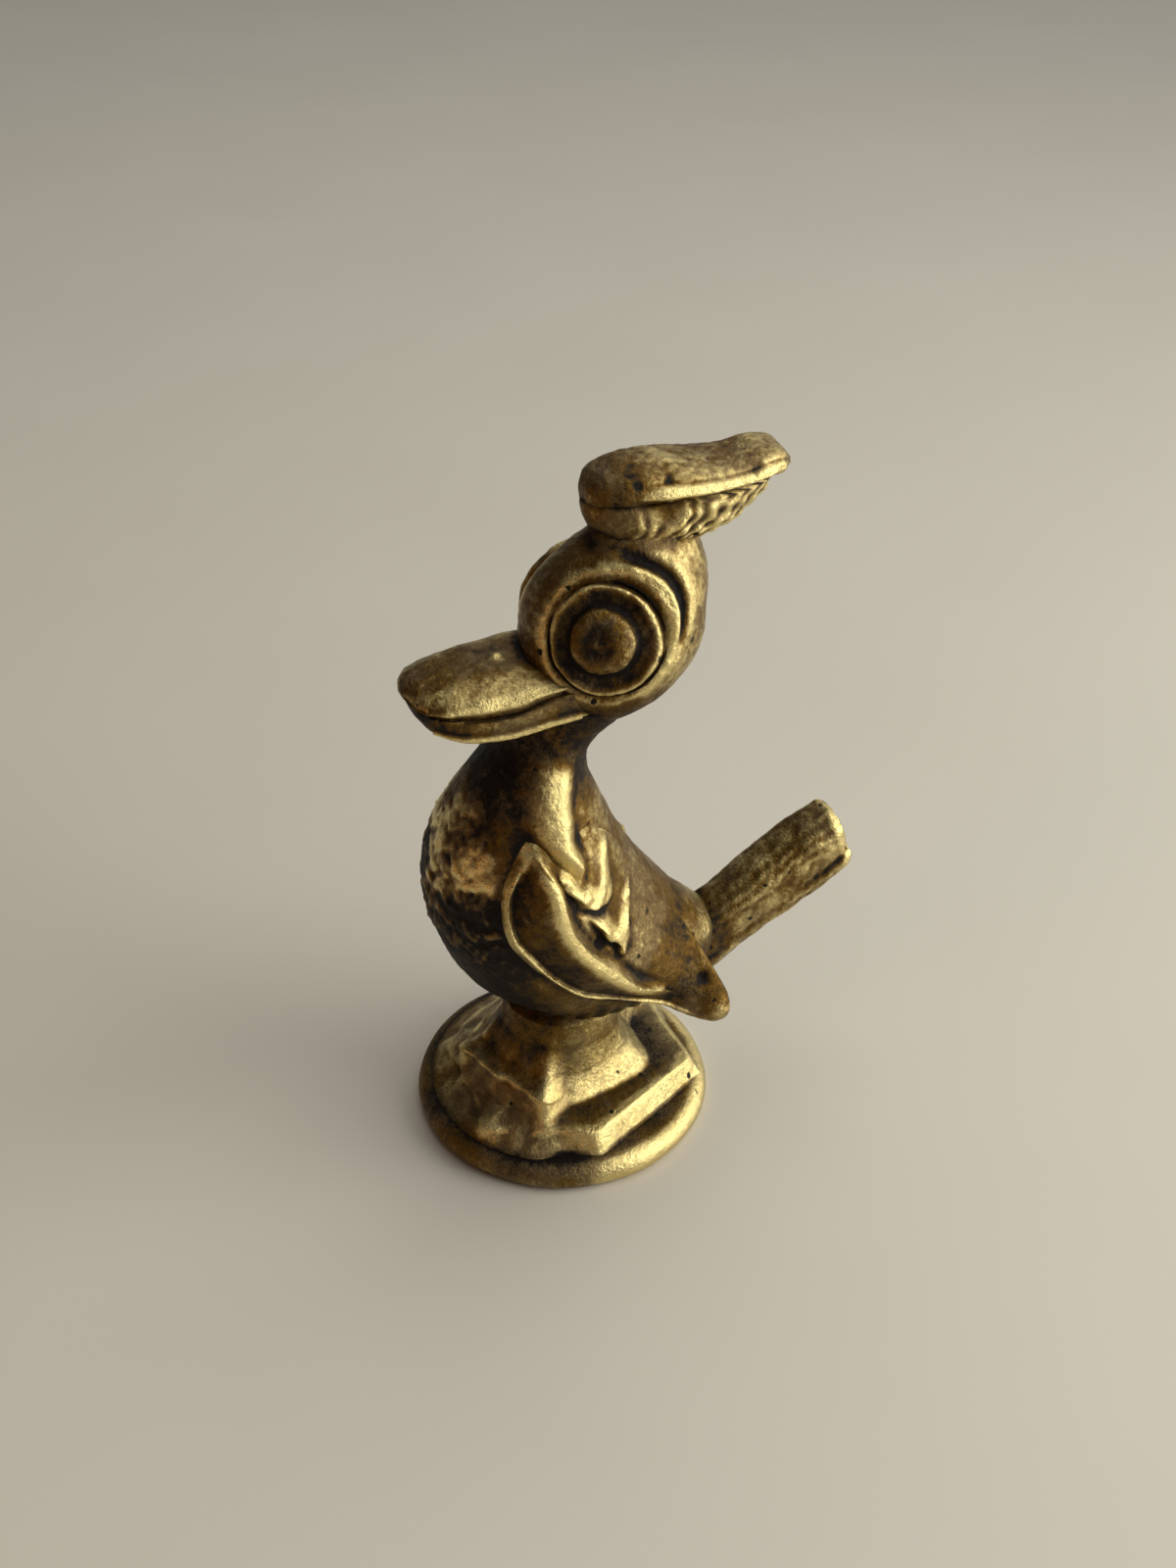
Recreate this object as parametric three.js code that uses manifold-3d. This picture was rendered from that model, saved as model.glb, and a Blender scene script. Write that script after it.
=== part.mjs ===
// A brass bird figurine: a crested duckling that stands on a rock, on a round disc.
// Each form is a casting of its own, located by a peg in the next one and brazed there.
// Millimetres and degrees, +Z up. The origin is the centre of the disc's underside.
// The bird faces -Y and its left side is +X.

import * as THREE from "three";
import { mergeVertices } from "three/addons/utils/BufferGeometryUtils.js";
import Module from "manifold-3d";

const wasm = await Module();
wasm.setup();

// Joints between the castings
const BRAZE_GAP = 0.3;
const PEG_RADIUS = 0.9;
const PEG_DEPTH = 2.5;

// Disc
const DISC_RADIUS = 12.75;
const DISC_THICKNESS = 2.3;
const DISC_RIM_ROUND = 0.9;
const DISC_SOCKET_DEPTH = 1.2;

// Rock: two ledges with flat, slanting faces under a stem that carries the belly.
// On the bird's left rear it is stepped, with treads between the faces. Elsewhere it is one slope.
const ROCK_HEIGHT = 9;
const LOWER_LEDGE_HEIGHT = 1.75;
const SLOPED_LEDGE_HEIGHT = 1.2;
const TREAD_RISE = 0.4;
const UPPER_LEDGE_HEIGHT = 3.9;
const SHOULDER_HEIGHT = 4.7;
const STEM_HEIGHT = 6.3;
const STEPPED_SIDE_ANGLE = 40;
const LEDGE_SPLAY = 0.5;
const FOOT_INSET = 0.4;
const LEDGE_SHARPNESS = 60;
const STEM_RADIUS = 4.8;
const STEM_PEG_RADIUS = 2;
const STEM_PEG_DEPTH = 4;
const BELLY_SINK = 2;
// Faces of each ledge seen from above: direction, and distance from the disc's axis
const LOWER_FACE_ANGLES = [28, -28, -90, -150, 150, 95];
const LOWER_FACE_DISTANCES = [9.2, 9.65, 9, 9.3, 9.5, 10.2];
const UPPER_FACE_ANGLES = [14, -62, -142, 165, 95];
const UPPER_FACE_DISTANCES = [7, 7.3, 6.8, 6.8, 7.2];

// Body, in level slices: height over the belly's lowest point, breast, back, half width
const BODY_SLICES = [
  [0, 1, 6.5, 0.6], [0.9, -1.2, 8.8, 2.8], [2.2, -3.4, 11.2, 4.5], [4.2, -5.4, 13.4, 6.2],
  [6.7, -8.2, 13.6, 7.5], [10.7, -10.4, 10.2, 8.6], [14.7, -11.3, 7.1, 8.8], [18.7, -10.7, 4.7, 8.3],
  [22.7, -9, 3, 6.6], [26.2, -6.4, 2, 5], [28.2, -4.8, 2.4, 4.3], [29.7, -4, 3.8, 4.2],
  [30.5, -3.5, 4.8, 4.4], [32.2, -2.6, 6.5, 4.8],
];
const BREAST_FULLNESS = 0.22;
const BREAST_TOP = 24.7;
const BREAST_FADE = 12;

// Wing, drawn in side view as points of depth (y) and height
const WING_LOWER_EDGE = [
  [-4.6, 23.2], [-6.1, 21.4], [-7.2, 19.4], [-7.4, 17.7], [-7, 15.6], [-5.8, 13.7], [-3.8, 11], [-1.5, 8.7],
  [0.6, 7.4], [2.7, 6.1], [5.4, 4.5], [7.9, 3], [9.9, 1.95], [11, 1.85], [11.8, 2.4],
];
const WING_UPPER_EDGE = [
  [-4.6, 23.2], [-1.5, 23.6], [1.6, 21.7], [4.5, 17.8], [7.9, 12.8], [9.6, 9.3], [11.4, 5.8], [12.1, 3.7], [11.8, 2.4],
];
const WING_LEAF_CREST = [
  [-4.8, 22.7], [-4.3, 21.7], [-3.5, 20.1], [-3.2, 19], [-3, 17.8], [-2.6, 16.3], [-1.6, 14.5], [-0.2, 12.7],
  [2, 10.2], [3.6, 8.3], [6, 6.4],
];
// A tongue from the neck, set off by a groove, and two feather tips that overlap like tiles
const WING_TONGUE_EDGE = [
  [-4.8, 23.4], [-4.2, 22.5], [-3.4, 21.5], [-2.3, 20.5], [-1.3, 19.6], [-0.6, 20.1], [-0.5, 20.9], [-0.8, 21.7],
  [-1, 22.7], [-0.9, 23.5],
];
const WING_FEATHER_TIPS = [
  [
    [-2.7, 19.8], [-1.9, 18.7], [-1, 17.6], [0.1, 17], [1.3, 16.7], [1.9, 17.5], [2, 18.2], [2.1, 19.3], [2.1, 20.1],
    [1.8, 21], [0.5, 22.4],
  ],
  [
    [-2.5, 19.4], [-1.9, 18.1], [-1, 16.8], [0.3, 15], [1.4, 13.3], [2.3, 12.1], [3, 13.3], [3.6, 14.5], [4, 15.6],
    [4.3, 16.3], [4.2, 17.6],
  ],
];
const WING_NUB_PLACE = [11, 3.3];
const WING_NUB_HEIGHT = 0.6;
const WING_NUB_WIDTH = 1.1;
const WING_THICKNESS = 1;
const WING_EDGE_THICKNESS = 0.8;
const WING_LEAST_THICKNESS = 0.65;
const WING_EDGE_WIDTH = 2.5;
const WING_INSET = 1.6;
const WING_TIP_SPREAD = 7.6;
const WING_SEAT_ROUND = 1.5;
const WING_SEAT_SINK = 0.2;
const WING_BEAD_HEIGHT = 0.6;
const WING_BEAD_INSET = 0.4;
const WING_BEAD_WIDTH = 0.3;
// The roll between the bead and the leaf's crest: share of the way, height
const WING_ROLL = [[0, 0], [0.1, -0.1], [0.2, -0.25], [0.35, 0], [0.55, 0.4], [0.75, 0.75], [0.9, 0.9], [1, 0.85]];
const WING_LEAF_HEIGHT = 0.85;
const WING_LEAF_WIDTH = 0.5;
const FEATHER_LIP_HEIGHT = 0.35;
const FEATHER_LIP_WIDTH = 0.4;
const FEATHER_RIM_HEIGHT = 0.4;
const FEATHER_RIM_INSET = 0.6;
const FEATHER_RIM_WIDTH = 0.6;
const FEATHER_GROOVE_DEPTH = 0.45;
const WING_EDGE_STEEPNESS = 0.5;
const WING_PEG_PLACE = [0, 10];

// Tail: a squared bar with a groove low on each side, cut on the slant at its end
const TAIL_LENGTH = 17.2;
const TAIL_RISE_ANGLE = 33;
const TAIL_HEIGHT = 3.5;
const TAIL_BURIED = 2;
const TAIL_END_SLANT = 0.25;
const TAIL_GROOVE_DEPTH = 0.35;
const TAIL_GROOVE_ANGLE = 110;
const TAIL_GROOVE_SPREAD_ANGLE = 12;
const TAIL_SQUARENESS = 0.6;
// Sections from the root to the end: share of the length, half width, half thickness
const TAIL_SECTIONS = [[0, 2.5, 2.95], [0.3, 2.5, 2.95], [0.94, 2.55, 3.05], [0.98, 2.4, 2.9], [1, 2, 2.5]];

// Head: a ball that runs up into an oval crown, which leans back
const HEAD_RADIUS = 7;
const HEAD_BACK = 4.2;
const CROWN_HEIGHT = 9;
const NECK_SINK = 2.5;
// Crown: share of its height, then lean, half depth and half width against the ball's radius
const CROWN_SECTIONS = [
  [0, 0, 1, 1], [0.24, 0.03, 0.99, 0.97], [0.43, 0.09, 0.95, 0.87], [0.59, 0.16, 0.85, 0.73],
  [0.73, 0.25, 0.71, 0.58], [0.84, 0.31, 0.6, 0.45], [0.93, 0.33, 0.52, 0.36], [1, 0.34, 0.38, 0.26],
];
// Chin: share of the way down, then lean and lost half depth, where the nape is drawn in
const CHIN_SECTIONS = [[0, 0, 0], [0.25, -0.07, 0.06], [0.5, -0.19, 0.17], [0.75, -0.22, 0.2], [1, -0.12, 0]];
const NECK_PEG_RADIUS = 1.5;
const NECK_PEG_DEPTH = 3;

// Eyes and brows: radii are measured over the ball from the eye's axis
const EYE_FORWARD_ANGLE = 26;
const EYE_UP_ANGLE = 18.7;
const EYE_RADIUS = 4.9;
const EYE_DEPTH = 1;
const EYE_RING_RADIUS = 4;
const EYE_RING_HEIGHT = 0.35;
const EYE_RING_WIDTH = 0.5;
const EYE_GROOVE_DEPTH = 0.5;
const EYE_GROOVE_WIDTH = 0.5;
const PUPIL_RADIUS = 2.6;
const PUPIL_HEIGHT = 0.4;
const PUPIL_DIMPLE = 0.3;
const BROW_THICKNESS = 0.4;
// The brow winds outwards from the ring: turn from above to the rear, distance from the eye's axis
const BROW_PATH = [[5, 5.1], [34, 5.9], [59, 6.2], [82, 6.5], [105, 6.8]];

// Bill, from its root inside the head to its tip
const BILL_REACH = 9.4;
const BILL_BURIED = 5.8;
const MOUTH_OVER_CHIN = 3.9;
const LOWER_BILL_SET_BACK = 0.3;
const LOWER_BILL_LIP = 0.3;
const BILL_PEG_PLACE = 0.3;
const BILL_PEG_RISE = 1.3;
const MOUTH_PEG_PLACE = 0.6;
const UPPER_BILL_SQUARENESS = 0.85;
const LOWER_BILL_SQUARENESS = 0.65;
// Sections: share of the length, then mouth, ridge and chin over the mouth's corner, then half width
const BILL_SECTIONS = [
  [0, 0.7, 2.5, -2.8, 4.4], [0.3, 0.8, 2.6, -3.1, 4.6], [0.54, 0, 2.6, -3.4, 4.6], [0.76, 0, 2.05, -3, 4.3],
  [0.87, 0.05, 1.7, -2.2, 3.8], [0.95, 0.2, 1.4, -1.3, 2.8], [0.985, 0.3, 1.15, -0.6, 1.7], [1, 0.4, 0.9, -0.1, 0.7],
];

// Crest: a collar of upright feathers and the plume that lies on it
const BAND_HEIGHT = 3;
const BAND_SINK = 1.4;
const BAND_TILT = 1;
const BAND_FEATHERS = 17;
const BAND_FEATHER_DEPTH = 0.2;
const BAND_PEG_BACK = 2.4;
// Sections: share of the height, then front and back from the head's centre, then half width
const BAND_SECTIONS = [[0, -1.7, 6.6, 2.6], [0.3, -2, 9.4, 3], [0.6, -2.2, 11.4, 3.1], [1, -2.2, 12.8, 3]];
const PLUME_LENGTH = 16.4;
const PLUME_START = -2.4;
const PLUME_PEG_BACK = 7;
const PLUME_PEG_DEPTH = 1.2;
// Sections: share of the length, top and underside over the collar, half width
const PLUME_SECTIONS = [
  [0, 1.4, -0.2, 0.9], [0.04, 2, -0.4, 2], [0.12, 2.5, -0.4, 2.8], [0.3, 2.8, -0.3, 3.3],
  [0.5, 2.55, -0.3, 3.3], [0.7, 2.4, -0.2, 2.9], [0.87, 2.7, 0, 2.4], [0.95, 2.3, 0.1, 1.8], [1, 1.2, 0.4, 0.6],
];
const PLUME_BEAD_HEIGHT = 0.35;
const PLUME_SQUARENESS = 0.7;

// Facets
const ROUND_SIDES = 20;
const WELD = 1e-4;

// Heights that follow from the sizes above
const BIRD_HEIGHT = DISC_THICKNESS + ROCK_HEIGHT - BELLY_SINK;
const NECK_TOP = BODY_SLICES.at(-1)[0];
const HEAD_CENTRE = new THREE.Vector3(0, HEAD_BACK, NECK_TOP + HEAD_RADIUS - NECK_SINK);
const MOUTH_HEIGHT = HEAD_CENTRE.z - HEAD_RADIUS + MOUTH_OVER_CHIN;
const BAND_BOTTOM = HEAD_CENTRE.z + CROWN_HEIGHT - BAND_SINK;
const BAND_TOP = BAND_BOTTOM + BAND_HEIGHT;

const { clamp, degToRad, lerp, smoothstep } = THREE.MathUtils;
const QUARTER = 90;
const point = (x, y, z) => new THREE.Vector3(x, y, z);
const bump = (distance, width) => Math.exp(-((distance / width) ** 2));
const squared = (value, power) => Math.sign(value) * Math.abs(value) ** power;

// A smooth curve through rows of numbers: column `column` where the first column is `x`.
function through(rows, column, x) {
  const last = rows.length - 1;
  const slope = (i) => (rows[i + 1][column] - rows[i][column]) / (rows[i + 1][0] - rows[i][0]);
  const tangent = (i) => {
    if (i === 0) return slope(0);
    if (i === last) return slope(last - 1);
    const before = rows[i][0] - rows[i - 1][0];
    const after = rows[i + 1][0] - rows[i][0];
    return (slope(i - 1) * after + slope(i) * before) / (before + after);
  };
  let i = 0;
  while (i < last - 1 && x > rows[i + 1][0]) i += 1;
  const width = rows[i + 1][0] - rows[i][0];
  const t = clamp((x - rows[i][0]) / width, 0, 1);
  const start = (1 + 2 * t) * (1 - t) ** 2 * rows[i][column] + t * (1 - t) ** 2 * width * tangent(i);
  const end = t * t * (3 - 2 * t) * rows[i + 1][column] + t * t * (t - 1) * width * tangent(i + 1);
  return start + end;
}

// A closed skin over rings of points, with a fan over each end.
function loft(rings, sides, pointAt) {
  const positions = [];
  const index = [];
  for (let i = 0; i <= rings; i += 1) {
    for (let j = 0; j < sides; j += 1) {
      positions.push(...pointAt(i / rings, (j / sides) * 2 * Math.PI));
    }
  }
  const corner = (i, j) => i * sides + (j % sides);
  for (let i = 0; i < rings; i += 1) {
    for (let j = 0; j < sides; j += 1) {
      index.push(corner(i, j), corner(i, j + 1), corner(i + 1, j + 1));
      index.push(corner(i, j), corner(i + 1, j + 1), corner(i + 1, j));
    }
  }
  for (const i of [0, rings]) {
    const middle = point(0, 0, 0);
    for (let j = 0; j < sides; j += 1) middle.add(point(0, 0, 0).fromArray(positions, 3 * corner(i, j)));
    const hub = positions.length / 3;
    positions.push(...middle.divideScalar(sides));
    for (let j = 0; j < sides; j += 1) {
      const edge = [corner(i, j), corner(i, j + 1)];
      index.push(hub, ...(i === 0 ? edge.reverse() : edge));
    }
  }
  const geometry = new THREE.BufferGeometry();
  geometry.setAttribute("position", new THREE.Float32BufferAttribute(positions, 3));
  return geometry.setIndex(index);
}

// The same surface with shared corners only, and without triangles that shrank to a line.
function welded(geometry) {
  const bare = new THREE.BufferGeometry();
  bare.setAttribute("position", geometry.getAttribute("position").clone());
  if (geometry.getIndex()) bare.setIndex(geometry.getIndex());
  const merged = mergeVertices(bare, WELD);
  const corners = merged.getIndex().array;
  const kept = [];
  for (let i = 0; i < corners.length; i += 3) {
    const [a, b, c] = corners.slice(i, i + 3);
    if (a !== b && b !== c && c !== a) kept.push(a, b, c);
  }
  return merged.setIndex(kept);
}

// The surface moved outwards by the braze gap, to cut the seat for a piece in its neighbour.
function grown(geometry) {
  const result = welded(geometry);
  result.computeVertexNormals();
  const position = result.getAttribute("position");
  const normal = result.getAttribute("normal");
  for (let i = 0; i < position.count; i += 1) {
    const place = point(0, 0, 0).fromBufferAttribute(position, i);
    place.addScaledVector(point(0, 0, 0).fromBufferAttribute(normal, i), BRAZE_GAP);
    position.setXYZ(i, ...place);
  }
  return result;
}

// The mirror image on the bird's other side.
function mirrored(geometry) {
  const result = welded(geometry).scale(-1, 1, 1);
  return result.setIndex(Array.from(result.getIndex().array).reverse());
}

function solid(geometry) {
  const { attributes, index } = welded(geometry);
  const vertProperties = new Float32Array(attributes.position.array);
  const triVerts = new Uint32Array(index.array);
  return new wasm.Manifold(new wasm.Mesh({ numProp: 3, vertProperties, triVerts }));
}

// A blank, less the seats of its neighbours and with its own pegs. Slivers that a seat leaves are filed off.
function casting(blank, neighbours, pegs = []) {
  let result = solid(blank);
  for (const neighbour of neighbours) result = result.subtract(solid(grown(neighbour)));
  for (const peg of pegs) result = result.add(solid(peg));
  const [main] = result.decompose().sort((a, b) => b.volume() - a.volume());
  const { vertProperties, triVerts } = main.getMesh();
  const geometry = new THREE.BufferGeometry();
  geometry.setAttribute("position", new THREE.Float32BufferAttribute(vertProperties, 3));
  return geometry.setIndex(Array.from(triVerts));
}

// A round peg between two points.
function pegBetween(start, end, radius) {
  const axis = end.clone().sub(start);
  const geometry = new THREE.CylinderGeometry(radius, radius, axis.length(), 16);
  const turn = new THREE.Quaternion().setFromUnitVectors(point(0, 1, 0), axis.clone().normalize());
  return geometry.applyQuaternion(turn).translate(...start.clone().lerp(end, 0.5));
}

// A line drawn in side view, and the distance of a point from it: plus on the left of the way it runs.
const sideCurve = (places) => new THREE.CatmullRomCurve3(places.map(([y, z]) => point(0, y, z)));
const sideSamples = (places) => sideCurve(places).getSpacedPoints(60);

function apart(samples, y, z) {
  let best = Infinity;
  let side = 1;
  for (let i = 0; i + 1 < samples.length; i += 1) {
    const from = samples[i];
    const [dy, dz] = [samples[i + 1].y - from.y, samples[i + 1].z - from.z];
    const share = clamp(((y - from.y) * dy + (z - from.z) * dz) / (dy * dy + dz * dz), 0, 1);
    const away = Math.hypot(y - from.y - share * dy, z - from.z - share * dz);
    if (away < best) {
      best = away;
      side = dy * (z - from.z) < dz * (y - from.y) ? -1 : 1;
    }
  }
  return best * side;
}

function discBlank() {
  const rim = DISC_RADIUS - DISC_RIM_ROUND;
  const profile = [new THREE.Vector2(0, 0)];
  for (const [height, from] of [[DISC_RIM_ROUND, -QUARTER], [DISC_THICKNESS - DISC_RIM_ROUND, 0]]) {
    for (let turn = from; turn <= from + QUARTER; turn += QUARTER / 3) {
      const angle = degToRad(turn);
      const radius = rim + DISC_RIM_ROUND * Math.cos(angle);
      profile.push(new THREE.Vector2(radius, height + DISC_RIM_ROUND * Math.sin(angle)));
    }
  }
  profile.push(new THREE.Vector2(0, DISC_THICKNESS));
  return new THREE.LatheGeometry(profile, 2 * ROUND_SIDES).rotateX(Math.PI / 2);
}

// The rock's outline at one level: flat faces with slightly worn corners.
function ledgeRadius(angles, distances, turn) {
  const reach = angles.map((angle, i) => Math.max(Math.cos(turn - degToRad(angle)), 0) / distances[i]);
  return reach.reduce((sum, share) => sum + share ** LEDGE_SHARPNESS, 0) ** (-1 / LEDGE_SHARPNESS);
}

// The directions of a ledge's corners, where one face meets the next.
function ledgeCorners(angles, distances) {
  return angles.map((angle, i) => {
    const next = (i + 1) % angles.length;
    const [from, to] = [degToRad(angle), degToRad(angles[next])];
    const y = Math.cos(from) * distances[next] - Math.cos(to) * distances[i];
    const x = Math.sin(to) * distances[i] - Math.sin(from) * distances[next];
    const side = Math.sign(Math.sin(to - from));
    return (Math.atan2(side * y, side * x) + 2 * Math.PI) % (2 * Math.PI);
  });
}

function rockBlank() {
  const even = Array.from({ length: 2 * ROUND_SIDES }, (_, i) => (i * Math.PI) / ROUND_SIDES);
  const corners = ledgeCorners(LOWER_FACE_ANGLES, LOWER_FACE_DISTANCES);
  const turns = [...even, ...corners, ...ledgeCorners(UPPER_FACE_ANGLES, UPPER_FACE_DISTANCES)];
  turns.sort((a, b) => a - b);
  // Levels from the foot up: height, then parts of lower ledge, upper ledge and stem, then what is added
  const stepped = [
    [0, 1, 0, 0, LEDGE_SPLAY],
    [LOWER_LEDGE_HEIGHT, 1, 0, 0, 0],
    [LOWER_LEDGE_HEIGHT + TREAD_RISE, 0, 1, 0, LEDGE_SPLAY],
    [UPPER_LEDGE_HEIGHT, 0, 1, 0, -LEDGE_SPLAY],
    [SHOULDER_HEIGHT, 0, 0.3, 0.7, 0],
    [STEM_HEIGHT, 0, 0, 1, 0],
    [ROCK_HEIGHT, 0, 0, 1, 0],
  ];
  const footRadius = DISC_RADIUS - DISC_RIM_ROUND - FOOT_INSET;
  const sloped = [
    [0, 0, 0, 0, footRadius],
    [SLOPED_LEDGE_HEIGHT, 1, 0, 0, 0],
    [(SLOPED_LEDGE_HEIGHT + UPPER_LEDGE_HEIGHT) / 2, 0.5, 0.5, 0, 0],
    [UPPER_LEDGE_HEIGHT, 0, 1, 0, -LEDGE_SPLAY],
    [lerp(UPPER_LEDGE_HEIGHT, ROCK_HEIGHT, 0.4), 0, 0.5, 0.5, 0],
    [lerp(UPPER_LEDGE_HEIGHT, ROCK_HEIGHT, 0.7), 0, 0.1, 0.9, 0],
    [ROCK_HEIGHT, 0, 0, 1, 0],
  ];
  const last = stepped.length - 1;
  return loft(last, turns.length, (s, a) => {
    const level = Math.round(s * last);
    const turn = turns[Math.round((a / (2 * Math.PI)) * turns.length)];
    const steps = smoothstep(Math.cos(turn - degToRad(STEPPED_SIDE_ANGLE)), 0.3, 0.6);
    const mixed = stepped[level].map((value, i) => lerp(sloped[level][i], value, steps));
    const [height, onLower, onUpper, onStem, added] = mixed;
    const lower = ledgeRadius(LOWER_FACE_ANGLES, LOWER_FACE_DISTANCES, turn);
    const upper = ledgeRadius(UPPER_FACE_ANGLES, UPPER_FACE_DISTANCES, turn);
    const radius = onLower * lower + onUpper * upper + onStem * STEM_RADIUS + added;
    return point(radius * Math.cos(turn), radius * Math.sin(turn), DISC_THICKNESS + height);
  });
}

// The breast is fuller than the back, and more so low down.
const fullness = (z, turn) => 1 + BREAST_FULLNESS * smoothstep(BREAST_TOP - z, 0, BREAST_FADE) * turn;

function bodyBlank() {
  const heights = BODY_SLICES.map(([height], i) => [i / (BODY_SLICES.length - 1), height]);
  return loft(18, 28, (s, a) => {
    const z = through(heights, 1, s);
    const [front, back, half] = [1, 2, 3].map((column) => through(BODY_SLICES, column, z));
    const x = half * Math.sin(a) * fullness(z, Math.cos(a));
    return point(x, (front + back) / 2 - ((back - front) / 2) * Math.cos(a), z);
  });
}

// Half the body's width at a place in side view, or 0 outside it.
function flank(y, z) {
  const [front, back, half] = [1, 2, 3].map((column) => through(BODY_SLICES, column, z));
  const turn = clamp((front + back - 2 * y) / (back - front), -1, 1);
  return half * Math.sqrt(1 - turn * turn) * fullness(z, turn);
}

function wingBlank() {
  const [lower, upper] = [WING_LOWER_EDGE, WING_UPPER_EDGE].map(sideCurve);
  const border = sideSamples(WING_LOWER_EDGE);
  const crest = sideSamples(WING_LEAF_CREST);
  const tips = WING_FEATHER_TIPS.map(sideSamples);
  const tongue = sideSamples(WING_TONGUE_EDGE);
  const [nubY, nubZ] = WING_NUB_PLACE;
  // The free tip stands off the body: share of the wing's length, distance from the middle plane
  const spread = [[0, 0], [0.6, 0], [0.85, 0.85 * WING_TIP_SPREAD], [1, WING_TIP_SPREAD]];
  const height = (y, z, s, across) => {
    const inset = Math.abs(apart(border, y, z));
    const leaf = apart(crest, y, z);
    const bead = WING_BEAD_HEIGHT * bump(inset - WING_BEAD_INSET, WING_BEAD_WIDTH) * (1 - smoothstep(s, 0.75, 0.95));
    const between = inset / (inset + Math.abs(leaf));
    const roll = leaf < 0 ? through(WING_ROLL, 1, between) : WING_LEAF_HEIGHT * bump(leaf, WING_LEAF_WIDTH);
    const nub = WING_NUB_HEIGHT * bump(Math.hypot(y - nubY, z - nubZ), WING_NUB_WIDTH);
    let relief = bead + roll * (1 - smoothstep(s, 0.6, 0.85)) + nub;
    for (const tip of tips) {
      const inside = apart(tip, y, z);
      const lip = FEATHER_LIP_HEIGHT * smoothstep(inside, -FEATHER_LIP_WIDTH, FEATHER_LIP_WIDTH);
      const rim = FEATHER_RIM_HEIGHT * bump(inside - FEATHER_RIM_INSET, FEATHER_RIM_WIDTH);
      const groove = FEATHER_GROOVE_DEPTH * bump(inside + FEATHER_LIP_WIDTH, FEATHER_LIP_WIDTH);
      relief += (lip + rim - groove) * smoothstep(leaf, 0, WING_LEAF_WIDTH);
    }
    relief -= FEATHER_GROOVE_DEPTH * bump(apart(tongue, y, z) + FEATHER_LIP_WIDTH, FEATHER_LIP_WIDTH);
    const bound = 1 - smoothstep(s, 0.65, 0.9);
    const atUpper = 0.5 * smoothstep(across, 0.5, 1) * bound;
    const atLower = (1 - WING_EDGE_THICKNESS) * (1 - smoothstep(inset, 0, WING_EDGE_WIDTH)) * bound;
    const plain = WING_THICKNESS * (1 - atUpper) * (1 - atLower);
    return Math.max(plain + relief * smoothstep(s, 0, 0.2), WING_LEAST_THICKNESS);
  };
  return loft(28, 28, (s, a) => {
    // Most of the points lie on the outer face, which shows, and near the shoulder and the tip.
    const share = s - 0.08 * Math.sin(2 * Math.PI * s);
    const outer = a < 1.6 * Math.PI;
    const turn = outer ? a / 1.6 : Math.PI + (a - 1.6 * Math.PI) * 2.5;
    const across = (1 + Math.cos(turn)) / 2;
    const place = lower.getPointAt(share).lerp(upper.getPointAt(share), across);
    const rise = Math.abs(Math.sin(turn)) ** WING_EDGE_STEEPNESS;
    const ends = 0.05 + smoothstep(share, 0, 0.12) * Math.sqrt(1 - clamp((share - 0.95) / 0.05, 0, 1) ** 2);
    const lift = outer ? height(place.y, place.z, share, across) : -WING_INSET;
    const stand = through(spread, 1, share) - flank(place.y, place.z);
    const seat = flank(place.y, place.z) + (stand + Math.hypot(stand, WING_SEAT_ROUND)) / 2 - WING_SEAT_SINK;
    place.x = seat + lift * rise * ends;
    return place;
  });
}

function tailAxis() {
  const angle = degToRad(TAIL_RISE_ANGLE);
  const along = point(0, Math.cos(angle), Math.sin(angle));
  const root = point(0, through(BODY_SLICES, 2, TAIL_HEIGHT) - TAIL_BURIED, TAIL_HEIGHT);
  return { along, root, up: point(0, -along.z, along.y) };
}

function tailBlank() {
  const { along, root, up } = tailAxis();
  return loft(6, 36, (s, a) => {
    const offTop = Math.min(a, 2 * Math.PI - a) - degToRad(TAIL_GROOVE_ANGLE);
    const groove = TAIL_GROOVE_DEPTH * bump(offTop, degToRad(TAIL_GROOVE_SPREAD_ANGLE));
    const across = (through(TAIL_SECTIONS, 1, s) - groove) * squared(Math.sin(a), TAIL_SQUARENESS);
    const over = through(TAIL_SECTIONS, 2, s) * squared(Math.cos(a), TAIL_SQUARENESS);
    const reach = s * (TAIL_LENGTH + TAIL_END_SLANT * over);
    const place = root.clone().addScaledVector(along, reach).addScaledVector(up, over);
    return place.setX(across);
  });
}

function eyeDirection() {
  const [turn, lift] = [degToRad(EYE_FORWARD_ANGLE), degToRad(EYE_UP_ANGLE)];
  return point(Math.cos(turn) * Math.cos(lift), -Math.sin(turn) * Math.cos(lift), Math.sin(lift));
}

// Places a shape made round +Y at the ball's centre on the left eye's axis.
function onEyeAxis(geometry) {
  const turn = new THREE.Quaternion().setFromUnitVectors(point(0, 1, 0), eyeDirection());
  return geometry.applyQuaternion(turn).translate(...HEAD_CENTRE);
}

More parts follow.
